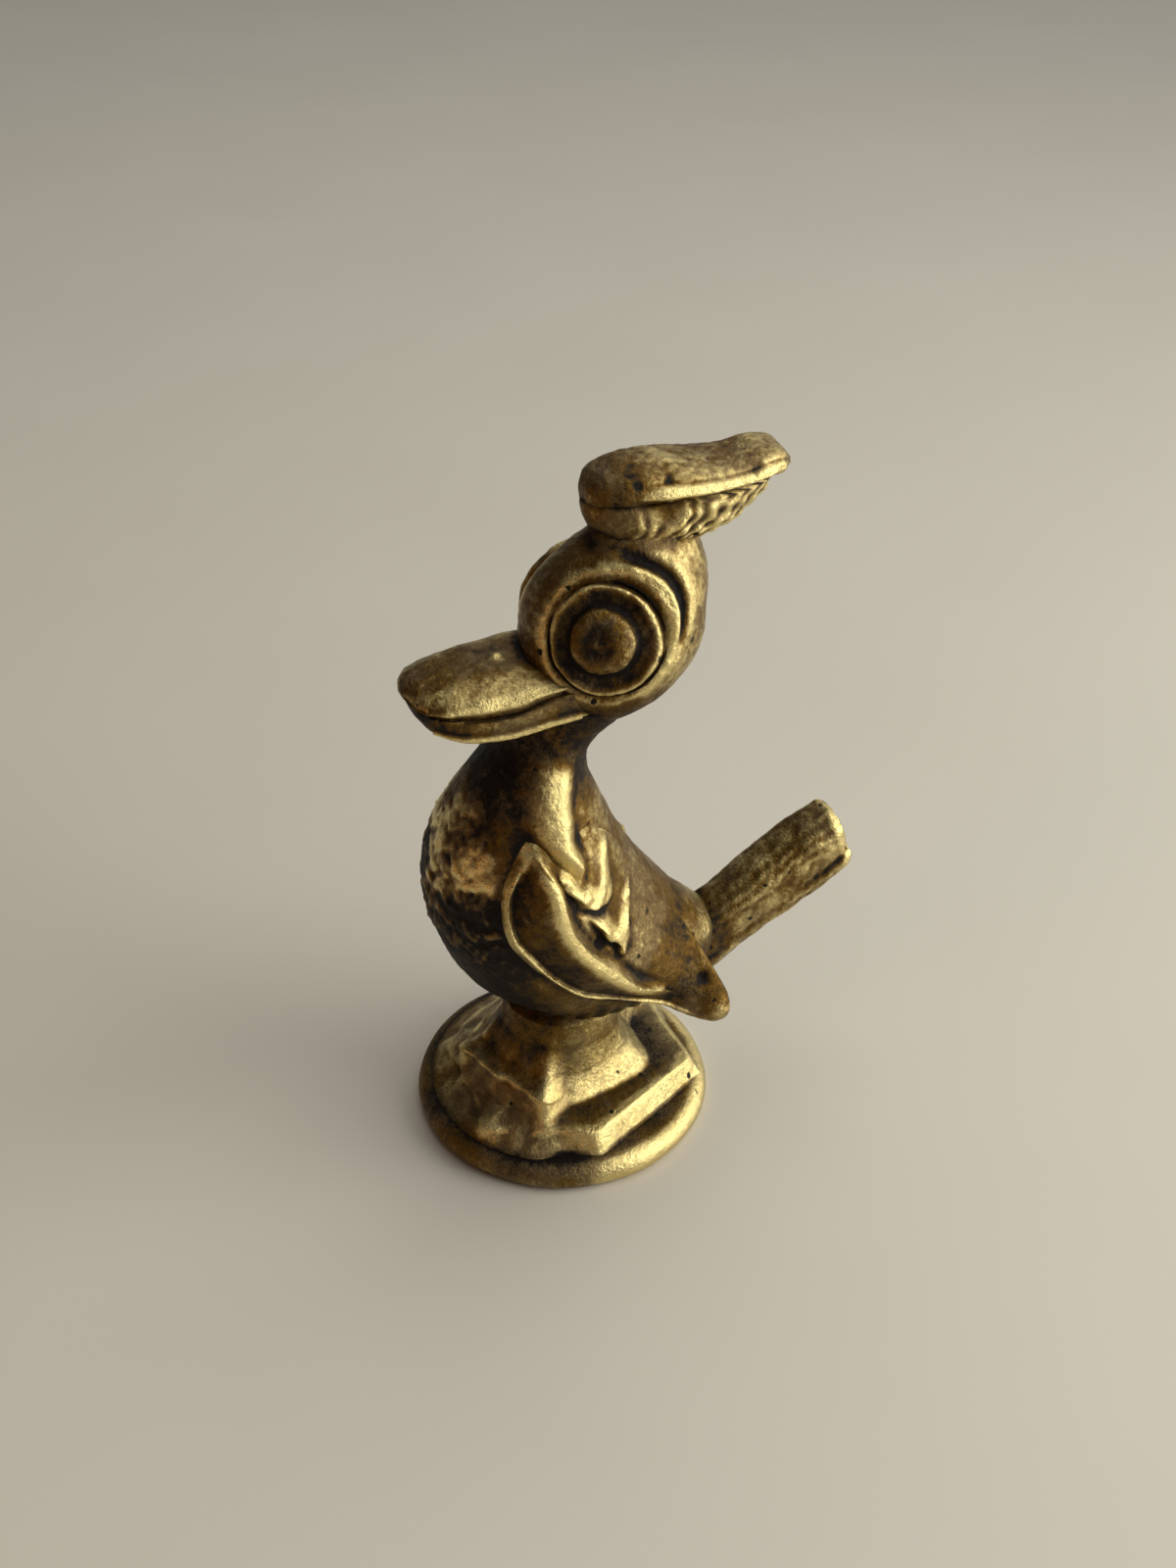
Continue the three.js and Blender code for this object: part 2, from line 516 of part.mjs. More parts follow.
// One revolved cap: dimple, pupil, groove and ring on the front, hollow to the ball at the back.
function eyeBlank() {
  const height = (radius) => {
    const dome = PUPIL_HEIGHT * Math.max(1 - (radius / PUPIL_RADIUS) ** 2, 0);
    const dimple = PUPIL_DIMPLE * bump(radius, PUPIL_DIMPLE);
    const groove = EYE_GROOVE_DEPTH * bump(radius - PUPIL_RADIUS - EYE_GROOVE_WIDTH, EYE_GROOVE_WIDTH);
    return dome - dimple - groove + EYE_RING_HEIGHT * bump(radius - EYE_RING_RADIUS, EYE_RING_WIDTH);
  };
  const polar = (distance, radius) => {
    const angle = radius / HEAD_RADIUS;
    return new THREE.Vector2(distance * Math.sin(angle), distance * Math.cos(angle));
  };
  const back = [];
  const front = [];
  for (let share = 0; share <= 1; share += 1 / 12) {
    const radius = share * EYE_RADIUS;
    back.push(polar(HEAD_RADIUS - EYE_DEPTH, radius));
    front.unshift(polar(HEAD_RADIUS + height(radius), radius));
  }
  const hollow = back.filter((_, i) => i % 6 === 0);
  return onEyeAxis(new THREE.LatheGeometry([...hollow, ...front], ROUND_SIDES));
}

// Half the crown's depth and width, and how far it leans back, at a height over the ball's centre.
function crownAt(height) {
  const share = clamp(height / CROWN_HEIGHT, 0, 1);
  const [lean, depth, width] = [1, 2, 3].map((column) => HEAD_RADIUS * through(CROWN_SECTIONS, column, share));
  return { lean, depth, width };
}

// The distance from the ball's centre to the crown's skin in one direction, found by halving.
function crownReach(direction) {
  let [inside, outside] = [HEAD_RADIUS / 2, 2 * HEAD_RADIUS];
  for (let i = 0; i < ROUND_SIDES; i += 1) {
    const middle = (inside + outside) / 2;
    const { x, y, z } = direction.clone().multiplyScalar(middle);
    const { lean, depth, width } = crownAt(z);
    if (Math.hypot((y - lean) / depth, x / width) < 1) inside = middle;
    else outside = middle;
  }
  return inside;
}

// A raised crescent over the left eye, carried over the ball from above the eye to its rear.
function browBlank() {
  const axis = eyeDirection();
  const front = axis.clone().cross(point(0, 0, 1)).normalize();
  const above = front.clone().cross(axis);
  const [[from], [to]] = [BROW_PATH[0], BROW_PATH.at(-1)];
  const places = [];
  for (let share = 0; share <= 1; share += 1 / 8) {
    const degrees = lerp(from, to, share);
    const slant = through(BROW_PATH, 1, degrees) / HEAD_RADIUS;
    const turn = degToRad(degrees);
    const outward = axis.clone().multiplyScalar(Math.cos(slant));
    outward.addScaledVector(above, Math.sin(slant) * Math.cos(turn));
    outward.addScaledVector(front, -Math.sin(slant) * Math.sin(turn));
    places.push(outward.multiplyScalar(crownReach(outward)).add(HEAD_CENTRE));
  }
  const section = new THREE.Shape().absarc(0, 0, BROW_THICKNESS, 0, 2 * Math.PI);
  const extrudePath = new THREE.CatmullRomCurve3(places);
  return new THREE.ExtrudeGeometry(section, { steps: 10, curveSegments: 3, extrudePath });
}

function headBlank() {
  return loft(16, 30, (s, a) => {
    const share = 2 * s - 1;
    const [up, down] = [Math.max(share, 0), Math.max(-share, 0)];
    const ball = Math.cos((down * Math.PI) / 2);
    const crown = crownAt(CROWN_HEIGHT * up);
    const lean = crown.lean + HEAD_RADIUS * through(CHIN_SECTIONS, 1, down);
    const depth = Math.max(crown.depth * ball - HEAD_RADIUS * through(CHIN_SECTIONS, 2, down), 0);
    const rise = CROWN_HEIGHT * up - HEAD_RADIUS * Math.sin((down * Math.PI) / 2);
    return point(crown.width * ball * Math.sin(a), lean - depth * Math.cos(a), rise).add(HEAD_CENTRE);
  });
}

// One half of the bill: from the mouth up to the ridge, or down to the chin.
function billBlank(upper) {
  const root = HEAD_CENTRE.y - HEAD_RADIUS + BILL_BURIED;
  const tip = HEAD_CENTRE.y - HEAD_RADIUS - BILL_REACH + (upper ? 0 : LOWER_BILL_SET_BACK);
  const power = upper ? UPPER_BILL_SQUARENESS : LOWER_BILL_SQUARENESS;
  return loft(10, 20, (s, a) => {
    const share = 1 - (1 - s) ** 1.5;
    const [mouth, ridge, chin, half] = BILL_SECTIONS[0].slice(1).map((_, i) => through(BILL_SECTIONS, i + 1, share));
    const over = Math.max(Math.cos(a), 0) ** power;
    const rise = lerp(mouth, upper ? ridge : chin, over);
    const side = squared(Math.sin(a), power) * (upper ? -half : half + LOWER_BILL_LIP);
    return point(side, lerp(root, tip, share), MOUTH_HEIGHT + rise);
  });
}

// The collar's lowest ring slopes down to the back with the crown, its top is level.
function bandBlank() {
  return loft(4, 40, (s, a) => {
    const [front, back, half] = [1, 2, 3].map((column) => through(BAND_SECTIONS, column, s));
    const feather = BAND_FEATHER_DEPTH * Math.cos(BAND_FEATHERS * a) * Math.sin(Math.PI * s);
    const y = (front + back) / 2 - ((back - front) / 2 + feather) * Math.cos(a);
    const z = lerp(BAND_BOTTOM + BAND_TILT * Math.cos(a), BAND_TOP, s);
    return point((half + feather) * Math.sin(a), HEAD_CENTRE.y + y, z);
  });
}

function plumeBlank() {
  return loft(14, 22, (s, a) => {
    const [top, under, half] = [1, 2, 3].map((column) => through(PLUME_SECTIONS, column, s));
    const bead = PLUME_BEAD_HEIGHT * bump(Math.cos(a) + 0.1, 0.25) * Math.sin(Math.PI * s);
    const x = half * squared(Math.sin(a), PLUME_SQUARENESS) + bead * Math.sign(Math.sin(a));
    const z = BAND_TOP + (top + under) / 2 + ((top - under) / 2) * squared(Math.cos(a), PLUME_SQUARENESS);
    return point(x, HEAD_CENTRE.y + PLUME_START + s * PLUME_LENGTH, z);
  });
}

function brass(colour, roughness) {
  return new THREE.MeshStandardMaterial({ color: colour, roughness, metalness: 1 });
}

function piece(name, geometry, colour = 0xa8843c, roughness = 0.35) {
  const mesh = new THREE.Mesh(geometry, brass(colour, roughness));
  mesh.name = name;
  geometry.computeVertexNormals();
  return mesh;
}

// Blanks before any seat is cut, in the bird's own frame from the belly's lowest point up
const disc = discBlank();
const rock = rockBlank();
const body = bodyBlank();
const wing = wingBlank();
const tail = tailBlank();
const head = headBlank();
const eyes = [eyeBlank(), mirrored(eyeBlank())];
const brows = [browBlank(), mirrored(browBlank())];
const upperBill = billBlank(true);
const lowerBill = billBlank(false);
const band = bandBlank();
const plume = plumeBlank();

// Pegs, each carried by the upper or outer one of the two castings that it joins
const discPeg = pegBetween(
  point(0, 0, DISC_THICKNESS + UPPER_LEDGE_HEIGHT),
  point(0, 0, DISC_THICKNESS - DISC_SOCKET_DEPTH),
  STEM_PEG_RADIUS,
);
const bellyMiddle = (BODY_SLICES[0][1] + BODY_SLICES[0][2]) / 2;
const stemPeg = pegBetween(
  point(0, bellyMiddle, -BELLY_SINK),
  point(0, bellyMiddle, STEM_PEG_DEPTH),
  STEM_PEG_RADIUS,
);
const [wingPegY, wingPegZ] = WING_PEG_PLACE;
const wingSeat = flank(wingPegY, wingPegZ);
const wingPeg = pegBetween(
  point(wingSeat + WING_THICKNESS / 2, wingPegY, wingPegZ),
  point(wingSeat - PEG_DEPTH, wingPegY, wingPegZ),
  PEG_RADIUS,
);
const { along, root } = tailAxis();
const tailPeg = pegBetween(
  root.clone().addScaledVector(along, TAIL_LENGTH / 2),
  root.clone().addScaledVector(along, -PEG_DEPTH),
  PEG_RADIUS,
);
const [, neckFront, neckBack] = BODY_SLICES.at(-1);
const neckMiddle = point(0, (neckFront + neckBack) / 2, NECK_TOP);
const neckAxis = HEAD_CENTRE.clone().sub(neckMiddle).normalize();
const neckPeg = pegBetween(
  HEAD_CENTRE.clone().addScaledVector(neckAxis, -HEAD_RADIUS - NECK_PEG_DEPTH),
  HEAD_CENTRE.clone().addScaledVector(neckAxis, -HEAD_RADIUS + NECK_PEG_DEPTH),
  NECK_PEG_RADIUS,
);
const billPegHeight = MOUTH_HEIGHT + BILL_PEG_RISE;
const billPeg = pegBetween(
  point(0, HEAD_CENTRE.y - HEAD_RADIUS - BILL_PEG_PLACE * BILL_REACH, billPegHeight),
  point(0, HEAD_CENTRE.y - HEAD_RADIUS + PEG_DEPTH, billPegHeight),
  PEG_RADIUS,
);
const mouthPegBack = HEAD_CENTRE.y - HEAD_RADIUS - MOUTH_PEG_PLACE * BILL_REACH;
const mouthPeg = pegBetween(
  point(0, mouthPegBack, MOUTH_HEIGHT - 2 * BRAZE_GAP),
  point(0, mouthPegBack, MOUTH_HEIGHT + PEG_RADIUS),
  PEG_RADIUS,
);
const bandPeg = pegBetween(
  point(0, HEAD_CENTRE.y + BAND_PEG_BACK, HEAD_CENTRE.z + CROWN_HEIGHT + PEG_RADIUS),
  point(0, HEAD_CENTRE.y + BAND_PEG_BACK, HEAD_CENTRE.z + CROWN_HEIGHT - PEG_DEPTH),
  PEG_RADIUS,
);
const plumePeg = pegBetween(
  point(0, HEAD_CENTRE.y + PLUME_PEG_BACK, BAND_TOP + PLUME_PEG_DEPTH),
  point(0, HEAD_CENTRE.y + PLUME_PEG_BACK, BAND_TOP - PLUME_PEG_DEPTH),
  PEG_RADIUS,
);

// Castings, seated in each other
const onRock = (geometry) => geometry.clone().translate(0, 0, BIRD_HEIGHT);
const wingCasting = casting(wing, [body], [wingPeg]);
const eyeCasting = casting(eyes[0], []);
const browedHead = casting(head, [], brows);

const base = new THREE.Group();
base.add(
  piece("base_disc", casting(disc, [discPeg])),
  piece("rock_mound", casting(rock, [onRock(body)], [discPeg, onRock(stemPeg)])),
);

const bird = new THREE.Group();
bird.position.z = BIRD_HEIGHT;
bird.add(
  piece("body", casting(body, [browedHead, stemPeg, tailPeg, wingPeg, mirrored(wingPeg)], [neckPeg])),
  piece("left_wing", wingCasting),
  piece("right_wing", mirrored(wingCasting)),
  piece("tail", casting(tail, [body], [tailPeg])),
  piece("head", casting(browedHead, [...eyes, neckPeg, billPeg, bandPeg])),
  piece("left_eye", eyeCasting),
  piece("right_eye", mirrored(eyeCasting)),
  piece("upper_bill", casting(upperBill, [browedHead, ...eyes, body, mouthPeg], [billPeg])),
  piece("lower_bill", casting(lowerBill, [browedHead, ...eyes, body, upperBill], [mouthPeg])),
  piece("crest_band", casting(band, [browedHead, plume, plumePeg], [bandPeg])),
  piece("crest_plume", casting(plume, [], [plumePeg])),
);

const figurine = new THREE.Group();
figurine.add(base, bird);

export default figurine;
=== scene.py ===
# %% [markdown]
# A small brass bird, a crested duckling that stands on a rock on a round disc. The CAD model gives
# each casting its place and size. This lesson gives each one the surface of the real thing: feathers,
# pits, worn edges and the dark film that gathers in hollows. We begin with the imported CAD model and
# keep its box, because no surface made here may reach outside it.

import bpy
import numpy as np
from mathutils import Matrix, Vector
from numpy.linalg import norm


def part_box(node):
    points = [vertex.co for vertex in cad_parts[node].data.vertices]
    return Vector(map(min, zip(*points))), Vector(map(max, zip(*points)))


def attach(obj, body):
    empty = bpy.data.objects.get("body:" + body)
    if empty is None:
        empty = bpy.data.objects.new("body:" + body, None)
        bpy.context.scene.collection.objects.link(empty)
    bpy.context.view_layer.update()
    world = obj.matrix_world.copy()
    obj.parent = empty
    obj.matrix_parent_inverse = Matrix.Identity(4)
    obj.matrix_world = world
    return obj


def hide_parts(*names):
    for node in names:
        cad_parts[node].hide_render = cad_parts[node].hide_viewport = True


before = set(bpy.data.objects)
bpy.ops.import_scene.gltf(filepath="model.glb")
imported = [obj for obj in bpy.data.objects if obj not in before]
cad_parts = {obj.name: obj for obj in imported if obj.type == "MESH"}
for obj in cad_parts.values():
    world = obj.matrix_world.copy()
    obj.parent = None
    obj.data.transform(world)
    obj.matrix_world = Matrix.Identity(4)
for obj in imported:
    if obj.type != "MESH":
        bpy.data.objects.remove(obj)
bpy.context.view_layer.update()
MM = 0.001


# %% [markdown]
# Every casting here is one closed skin. It could be sculpted by hand, but a formula is easier to
# change: two numbers, a share of the length and a turn round it, give one point of the surface. We
# need a smooth curve through a few measured stations, and a way to put a whole grid into a mesh.

# %% Curves through stations
def through(rows, column, x):
    """A smooth curve: cubic pieces between stations, whose slope at each station is the mean of the
    two chords beside it, each weighted by the other's length."""
    rows = np.asarray(rows, float)
    place, value = rows[:, 0], rows[:, column]
    width = np.diff(place)
    chord = np.diff(value) / width
    inner = (chord[:-1] * width[1:] + chord[1:] * width[:-1]) / (width[:-1] + width[1:])
    slope = np.concatenate([chord[:1], inner, chord[-1:]])
    i = np.clip(np.searchsorted(place, x, side="right") - 1, 0, len(place) - 2)
    t = np.clip((x - place[i]) / width[i], 0, 1)
    start = (1 + 2 * t) * (1 - t) ** 2 * value[i] + t * (1 - t) ** 2 * width[i] * slope[i]
    end = t * t * (3 - 2 * t) * value[i + 1] + t * t * (t - 1) * width[i] * slope[i + 1]
    return start + end


def smooth(x, start, end):
    """From 0 at start to 1 at end by 3t^2 - 2t^3, and level beyond. With end under start it falls."""
    t = np.clip((x - start) / (end - start), 0, 1)
    return t * t * (3 - 2 * t)


def bump(distance, width):
    """A soft ridge: e to the power of minus the square of distance over width."""
    return np.exp(-((distance / width) ** 2))


def squared(value, power):
    """Keeps the sign and raises the size to a power: under 1, a circle's sine grows squarer."""
    return np.sign(value) * np.abs(value) ** power


def grid(rows, columns):
    """Two parameters: a share from 0 to 1 down the rows, a turn from 0 to 2 pi along the columns."""
    share = np.linspace(0, 1, rows)[:, None]
    turn = np.linspace(0, 2 * np.pi, columns, endpoint=False)[None, :]
    return share, turn


def joined(x, y, z):
    """Points from three coordinates, each spread over the whole grid."""
    return np.stack(np.broadcast_arrays(x, y, z), -1)


print("half way through three stations:", through([[0, 0], [1, 2], [2, 2]], 1, np.array(0.5)))


# %% Relief and unevenness
def facing(points):
    """Outward unit normals: the cross product of the step round the ring and the step to the next
    ring, over its length."""
    step_round = np.roll(points, -1, 1) - np.roll(points, 1, 1)
    step_along = np.gradient(points, axis=0)
    normal = np.cross(step_round, step_along)
    return normal / (norm(normal, axis=-1, keepdims=True) + 1e-9)


def raised(points, relief):
    """Each point moved along its normal by its relief, in mm."""
    return points + facing(points) * np.broadcast_to(relief, points.shape[:2])[..., None]


def waves(points, size, seed, count=24):
    """An uneven field of about unit height: plane waves, `size` mm long, whose directions and starts are
    drawn from the seed, summed and divided by the root of half their count."""
    draw = np.random.default_rng(seed)
    way = draw.normal(size=(3, count))
    way *= 2 * np.pi / (size * norm(way, axis=0))
    start = draw.uniform(0, 2 * np.pi, count)
    return np.cos(points @ way + start).sum(-1) / np.sqrt(count / 2)


def cast_skin(points, seed, height=1.0):
    """The unevenness of a hand-finished casting: swells 7 mm long, dents 2.2 mm and grain 0.8 mm."""
    swell = 0.05 * waves(points, 7, seed)
    dents = 0.018 * waves(points, 2.2, seed + 1)
    return height * (swell + dents + 0.011 * waves(points, 0.8, seed + 2))


def hollow_depth(points, reach=0.7):
    """How far each point lies under the mean of its surroundings, in mm. The mean is made by blending
    each point with its four neighbours again and again, until it covers about `reach` mm."""
    mean = points.copy()
    round_step = np.median(norm(np.roll(points, -1, 1) - points, axis=-1))
    along_step = np.median(norm(np.diff(points, axis=0), axis=-1))
    for _ in range(min(int(2 * (reach / round_step) ** 2), 60)):
        mean = mean / 2 + (np.roll(mean, 1, 1) + np.roll(mean, -1, 1)) / 4
    for _ in range(min(int(2 * (reach / along_step) ** 2), 60)):
        padded = np.concatenate([mean[:1], mean, mean[-1:]])
        mean = mean / 2 + (padded[:-2] + padded[2:]) / 4
    return np.sum((mean - points) * facing(points), axis=-1)


# %% Grid to mesh
def casting(part, points, film_and_painted_light, slot="bird_brass"):
    """One closed skin: quads over the grid and a fan of triangles over each end ring. The attribute
    `hollow` keeps the depth of hollows. The third argument, kept as an attribute too, is above 0 where
    film and dirt stay, as along a seam, and where shade is painted, and below 0 where hands rub the
    metal bright and where highlights are painted."""
    rows, columns = points.shape[:2]
    corner = np.arange(rows * columns).reshape(rows, columns)
    beside = np.roll(corner, -1, 1)
    quads = np.stack([corner[:-1], beside[:-1], beside[1:], corner[1:]], -1).reshape(-1, 4)
    hubs = rows * columns + np.array([0, 1])
    low = np.stack([beside[0], corner[0], np.full(columns, hubs[0])], -1)
    high = np.stack([corner[-1], beside[-1], np.full(columns, hubs[1])], -1)
    corners = np.concatenate([quads.ravel(), low.ravel(), high.ravel()])
    sizes = np.concatenate([np.full(len(quads), 4), np.full(2 * columns, 3)])
    places = np.concatenate([points.reshape(-1, 3), points[[0, -1]].mean(1)]) * MM
    mesh = bpy.data.meshes.new(part + "_skin")
    mesh.vertices.add(len(places))
    mesh.vertices.foreach_set("co", places.ravel())
    mesh.loops.add(len(corners))
    mesh.loops.foreach_set("vertex_index", corners)
    mesh.polygons.add(len(sizes))
    mesh.polygons.foreach_set("loop_start", np.concatenate([[0], np.cumsum(sizes)[:-1]]))
    mesh.update(calc_edges=True)
    mesh.validate()
    mesh.polygons.foreach_set("use_smooth", np.ones(len(sizes), bool))
    film_and_painted_light = np.broadcast_to(film_and_painted_light, (rows, columns))
    for name, field in (("hollow", hollow_depth(points)), ("film_and_painted_light", film_and_painted_light)):
        values = np.concatenate([field.ravel(), field[[0, -1]].mean(1)])
        mesh.attributes.new(name, "FLOAT", "POINT").data.foreach_set("value", values)
    piece = bpy.data.objects.new(part + "_skin", mesh)
    bpy.context.scene.collection.objects.link(piece)
    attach(piece, "root")
    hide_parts(part)
    skins.append((piece, slot))
    size = np.ptp(places, axis=0) / MM
    print(f"{part}: {len(sizes)} faces, {size[0]:.1f} x {size[1]:.1f} x {size[2]:.1f} mm")


def mirrored(points):
    """The other side: x changes sign, and each ring runs the other way round."""
    return points[:, ::-1] * np.array([-1, 1, 1])


skins = []


# %% [markdown]
# The disc is a turned blank: a profile carried once round the axis. Its rim is worn round, and the
# underside is flat because it stands on a table.

# %% Disc
DISC_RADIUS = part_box("base_disc")[1][0] / MM
DISC_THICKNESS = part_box("base_disc")[1][2] / MM
RIM_ROUND, WORN_ROUND = 0.9, 1.4
# The way to the window's side, seen from above
WINDOW_SIDE = 0.34, 0.94


def disc_points():
    """A circle of radius r at height z: r and z follow the underside, a quarter round, the rim's
    face, another quarter round and the top, in steps of equal length."""
    share, turn = grid(180, 300)
    rim = DISC_RADIUS - RIM_ROUND
    lower = np.radians(np.linspace(-90, 0, 40))
    upper = np.radians(np.linspace(0, 90, 40))
    worn_rim = DISC_RADIUS - WORN_ROUND + WORN_ROUND * np.cos(upper)
    worn_height = DISC_THICKNESS - WORN_ROUND + WORN_ROUND * np.sin(upper)
    radius = np.concatenate([[0.3], rim + RIM_ROUND * np.cos(lower), worn_rim, [0.3]])
    height = np.concatenate([[0], RIM_ROUND + RIM_ROUND * np.sin(lower), worn_height, [DISC_THICKNESS]])
    length = np.concatenate([[0], np.cumsum(np.hypot(np.diff(radius), np.diff(height)))])
    even = share[:, 0] * length[-1]
    radius, height = np.interp(even, length, radius), np.interp(even, length, height)
    x, y = radius[:, None] * np.cos(turn), radius[:, None] * np.sin(turn)
    return joined(x, y, height[:, None])


disc = disc_points()
worn = -0.05 + 0.045 * np.clip(waves(disc, 7, 3), -1, 1)
# Near the rock's foot and along the lowest edge by the table the disc is darkened: dirt and painted shade
over_table = smooth(disc[..., 2], 0, 0.5)
under_rock = smooth(DISC_RADIUS - 0.6 - np.hypot(disc[..., 0], disc[..., 1]), 0, 1.4)
# Painted shade: the side away from the window lamp gets more film, so it is darker
unlit = smooth(WINDOW_SIDE[0] * disc[..., 0] + WINDOW_SIDE[1] * disc[..., 1], 6, 0)
disc_film_and_shade = 0.35 * under_rock * (1 - unlit) + 0.4 * (1 - over_table) + 0.95 * unlit + 0.12
casting("base_disc", raised(disc, worn * over_table), disc_film_and_shade, "base_brass")


# %% [markdown]
# The rock rises in two ledges to a stem under the belly. On the bird's left rear they are steps, and
# elsewhere they run together in one slope. Seen from above, each ledge is a polygon of broken faces. A
# polygon's radius in one direction is the least of the distances to its sides, and a soft least rounds
# its corners as wear does.

# %% Rock
STEM_RADIUS = 4.8
FOOT_INSET = 0.4
FOOT_RADIUS = DISC_RADIUS - RIM_ROUND - FOOT_INSET
STEPPED_SIDE = np.radians(40)
LEDGE_ROW, UPPER_ROW = 0.25, 0.62
# Faces of each ledge seen from above: direction in degrees, distance from the disc's axis
LOWER_FACES = np.array([[28, 9.2], [-28, 9.65], [-90, 9], [-150, 9.3], [150, 9.5], [95, 10.2]])
UPPER_FACES = np.array([[14, 7], [-62, 7.3], [-142, 6.8], [165, 6.8], [95, 7.2]])
# Up the rock: share of the rows, height over the disc, then the parts that the lower ledge, the upper
# ledge and the stem have in the radius, then a length added to it
STEPPED = np.array([
    [0, 0, 1, 0, 0, 0.7], [LEDGE_ROW, 1.75, 1, 0, 0, -0.4], [0.4, 1.95, 0, 0.8, 0.2, 0],
    [UPPER_ROW, 2.8, 0, 0.5, 0.5, 0], [0.74, 4, 0, 0.2, 0.8, 0], [0.86, 6.3, 0, 0, 1, 0],
    [1, 9, 0, 0, 1, 0],
])
SLOPED = np.array([
    [0, 0, 0, 0, 0, FOOT_RADIUS], [LEDGE_ROW, 1.2, 1, 0, 0, 0], [0.4, 2.3, 0.4, 0.6, 0, 0],
    [UPPER_ROW, 3.8, 0, 1, 0, -0.05], [0.74, 4.7, 0, 0.55, 0.45, 0], [0.86, 6.7, 0, 0.15, 0.85, 0],
    [1, 9, 0, 0, 1, 0],
])


def on_steps(turn):
    """1 on the bird's left rear, where the rock is stepped, falling softly to 0 on both sides."""
    return smooth(np.cos(turn - STEPPED_SIDE), 0.3, 0.6)


def ledge_radius(faces, turn, sharpness=60):
    """The soft least of distance / cos(turn - direction) over the faces that look that way: a sum of
    high powers, brought back by the root."""
    reach = np.maximum(np.cos(turn[..., None] - np.radians(faces[:, 0])), 0) / faces[:, 1]
    return (reach ** sharpness).sum(-1) ** (-1 / sharpness)


def worn_round(points, passes):
    """Edges rounded by wear: each point is blended with its neighbours on the grid, again and again."""
    for _ in range(passes):
        points = points / 2 + (np.roll(points, 1, 1) + np.roll(points, -1, 1)) / 4
        inner = points[1:-1] / 2 + (points[:-2] + points[2:]) / 4
        points = np.concatenate([points[:1], inner, points[-1:]])
    return points


def rock_points(share, turn):
    """A ring at each share of the rise, straight between stations: foot, lower ledge, upper ledge and
    stem. On the bird's left rear there are treads between the faces, elsewhere one slope, whose edges
    wander a little."""
    steps = on_steps(turn)
    ripple = np.sin(7 * turn + 1) + 0.7 * np.sin(13 * turn + 2) + 0.4 * np.sin(23 * turn)
    wander = 0.17 * (1 - steps) * ripple
    lower = ledge_radius(LOWER_FACES, turn) + wander
    upper = ledge_radius(UPPER_FACES, turn) - 0.8 * wander
    upper = upper + (ledge_radius(UPPER_FACES, turn, 8) - upper) * steps
    columns = []
    for k in range(1, 6):
        stepped, sloped = [np.interp(share, table[:, 0], table[:, k]) for table in (STEPPED, SLOPED)]
        columns.append(sloped + (stepped - sloped) * steps)
    height, on_lower, on_upper, on_stem, splay = columns
    radius = on_lower * lower + on_upper * upper + on_stem * STEM_RADIUS + splay
    height = height + 0.12 * wander * np.sin(np.pi * share)
    return joined(radius * np.cos(turn), radius * np.sin(turn), DISC_THICKNESS + height)


rock_share, rock_turn = grid(180, 420)
rock = worn_round(rock_points(rock_share, rock_turn), 3)
steps = on_steps(rock_turn)
foot = smooth(rock[..., 2], DISC_THICKNESS, DISC_THICKNESS + 0.4)
crags = -0.04 * (1 - steps) * np.abs(waves(rock, 2.6, 11)) + cast_skin(rock, 12, 0.6)
crags += 0.12 * (1 - steps) * bump(rock_share - UPPER_ROW, 0.03)
treads = bump(rock_share - 0.36, 0.06)
edges = bump(rock_share - LEDGE_ROW, 0.03) + (1 - steps) * bump(rock_share - UPPER_ROW, 0.035)
# Painted highlights: on the stepped side the faces of both ledges, which face the window lamp, are made
# bright
lit_face = steps * smooth(rock_share, 0.02, 0.06) * smooth(rock_share, 0.27, 0.24)
chipped = np.clip(0.6 + waves(rock, 3, 13), 0, 1.5)
lit_upper_face = steps * smooth(rock_share, 0.42, 0.5) * smooth(rock_share, 0.85, 0.72)
on_stem = smooth(rock_share, 0.72, 0.82)
# Painted shade: the sloped sides keep more film, most of all up the stem under the belly, and the treads
# are darker: dust and painted shade. The foot, where rock meets disc, is darkened: dirt and painted
# shade.
rock_film_and_painted_light = 0.4 * (1 - foot) + (1 - steps) * (0.15 + 0.3 * on_stem) + steps * (0.4 * treads + 0.05)
rock_film_and_painted_light -= 0.7 * edges * chipped + 0.4 * lit_face + 0.3 * lit_upper_face
casting("rock_mound", raised(rock, crags * foot), rock_film_and_painted_light, "base_brass")


# %% [markdown]
# The body is an egg that narrows to the neck. Level slices are ovals: each has a breast, a back and a
# half width. The breast is fuller than the back. Over it run rows of short wavy scales, and from the
# neck a tongue of long feathers comes down over the wing.

# %% Body
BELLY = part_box("body")[0][2] / MM
BODY_SLICES = [
    [0, 1, 6.5, 0.6], [0.9, -1.2, 8.8, 2.8], [2.2, -3.4, 11.2, 4.5], [4.2, -5.4, 13.4, 6.2],
    [6.7, -8.2, 13.6, 7.5], [10.7, -10.4, 10.2, 8.6], [14.7, -11.3, 7.1, 8.8], [18.7, -10.7, 4.7, 8.3],
    [22.7, -9, 3, 6.6], [26.2, -6.4, 2, 5], [28.2, -4.8, 2.4, 4.3], [29.7, -4, 3.8, 4.2],
    [30.5, -3.5, 4.8, 4.4], [32.2, -2.6, 6.5, 4.8],
]
BREAST_FULLNESS, NECK_LOW = 0.22, 24.7
SCALE_SPACING, NOTCH_SPACING = 1.7, 1.5
PIP_PLACE = [0.4, 5.1, BELLY + 17.9]
# Thickness of the tongue of feathers by height over the belly
TONGUE = [[18, 1.5], [20, 1.5], [22, 1.15], [24, 0.8], [26, 0.5], [28.7, 0.1], [32, 0]]


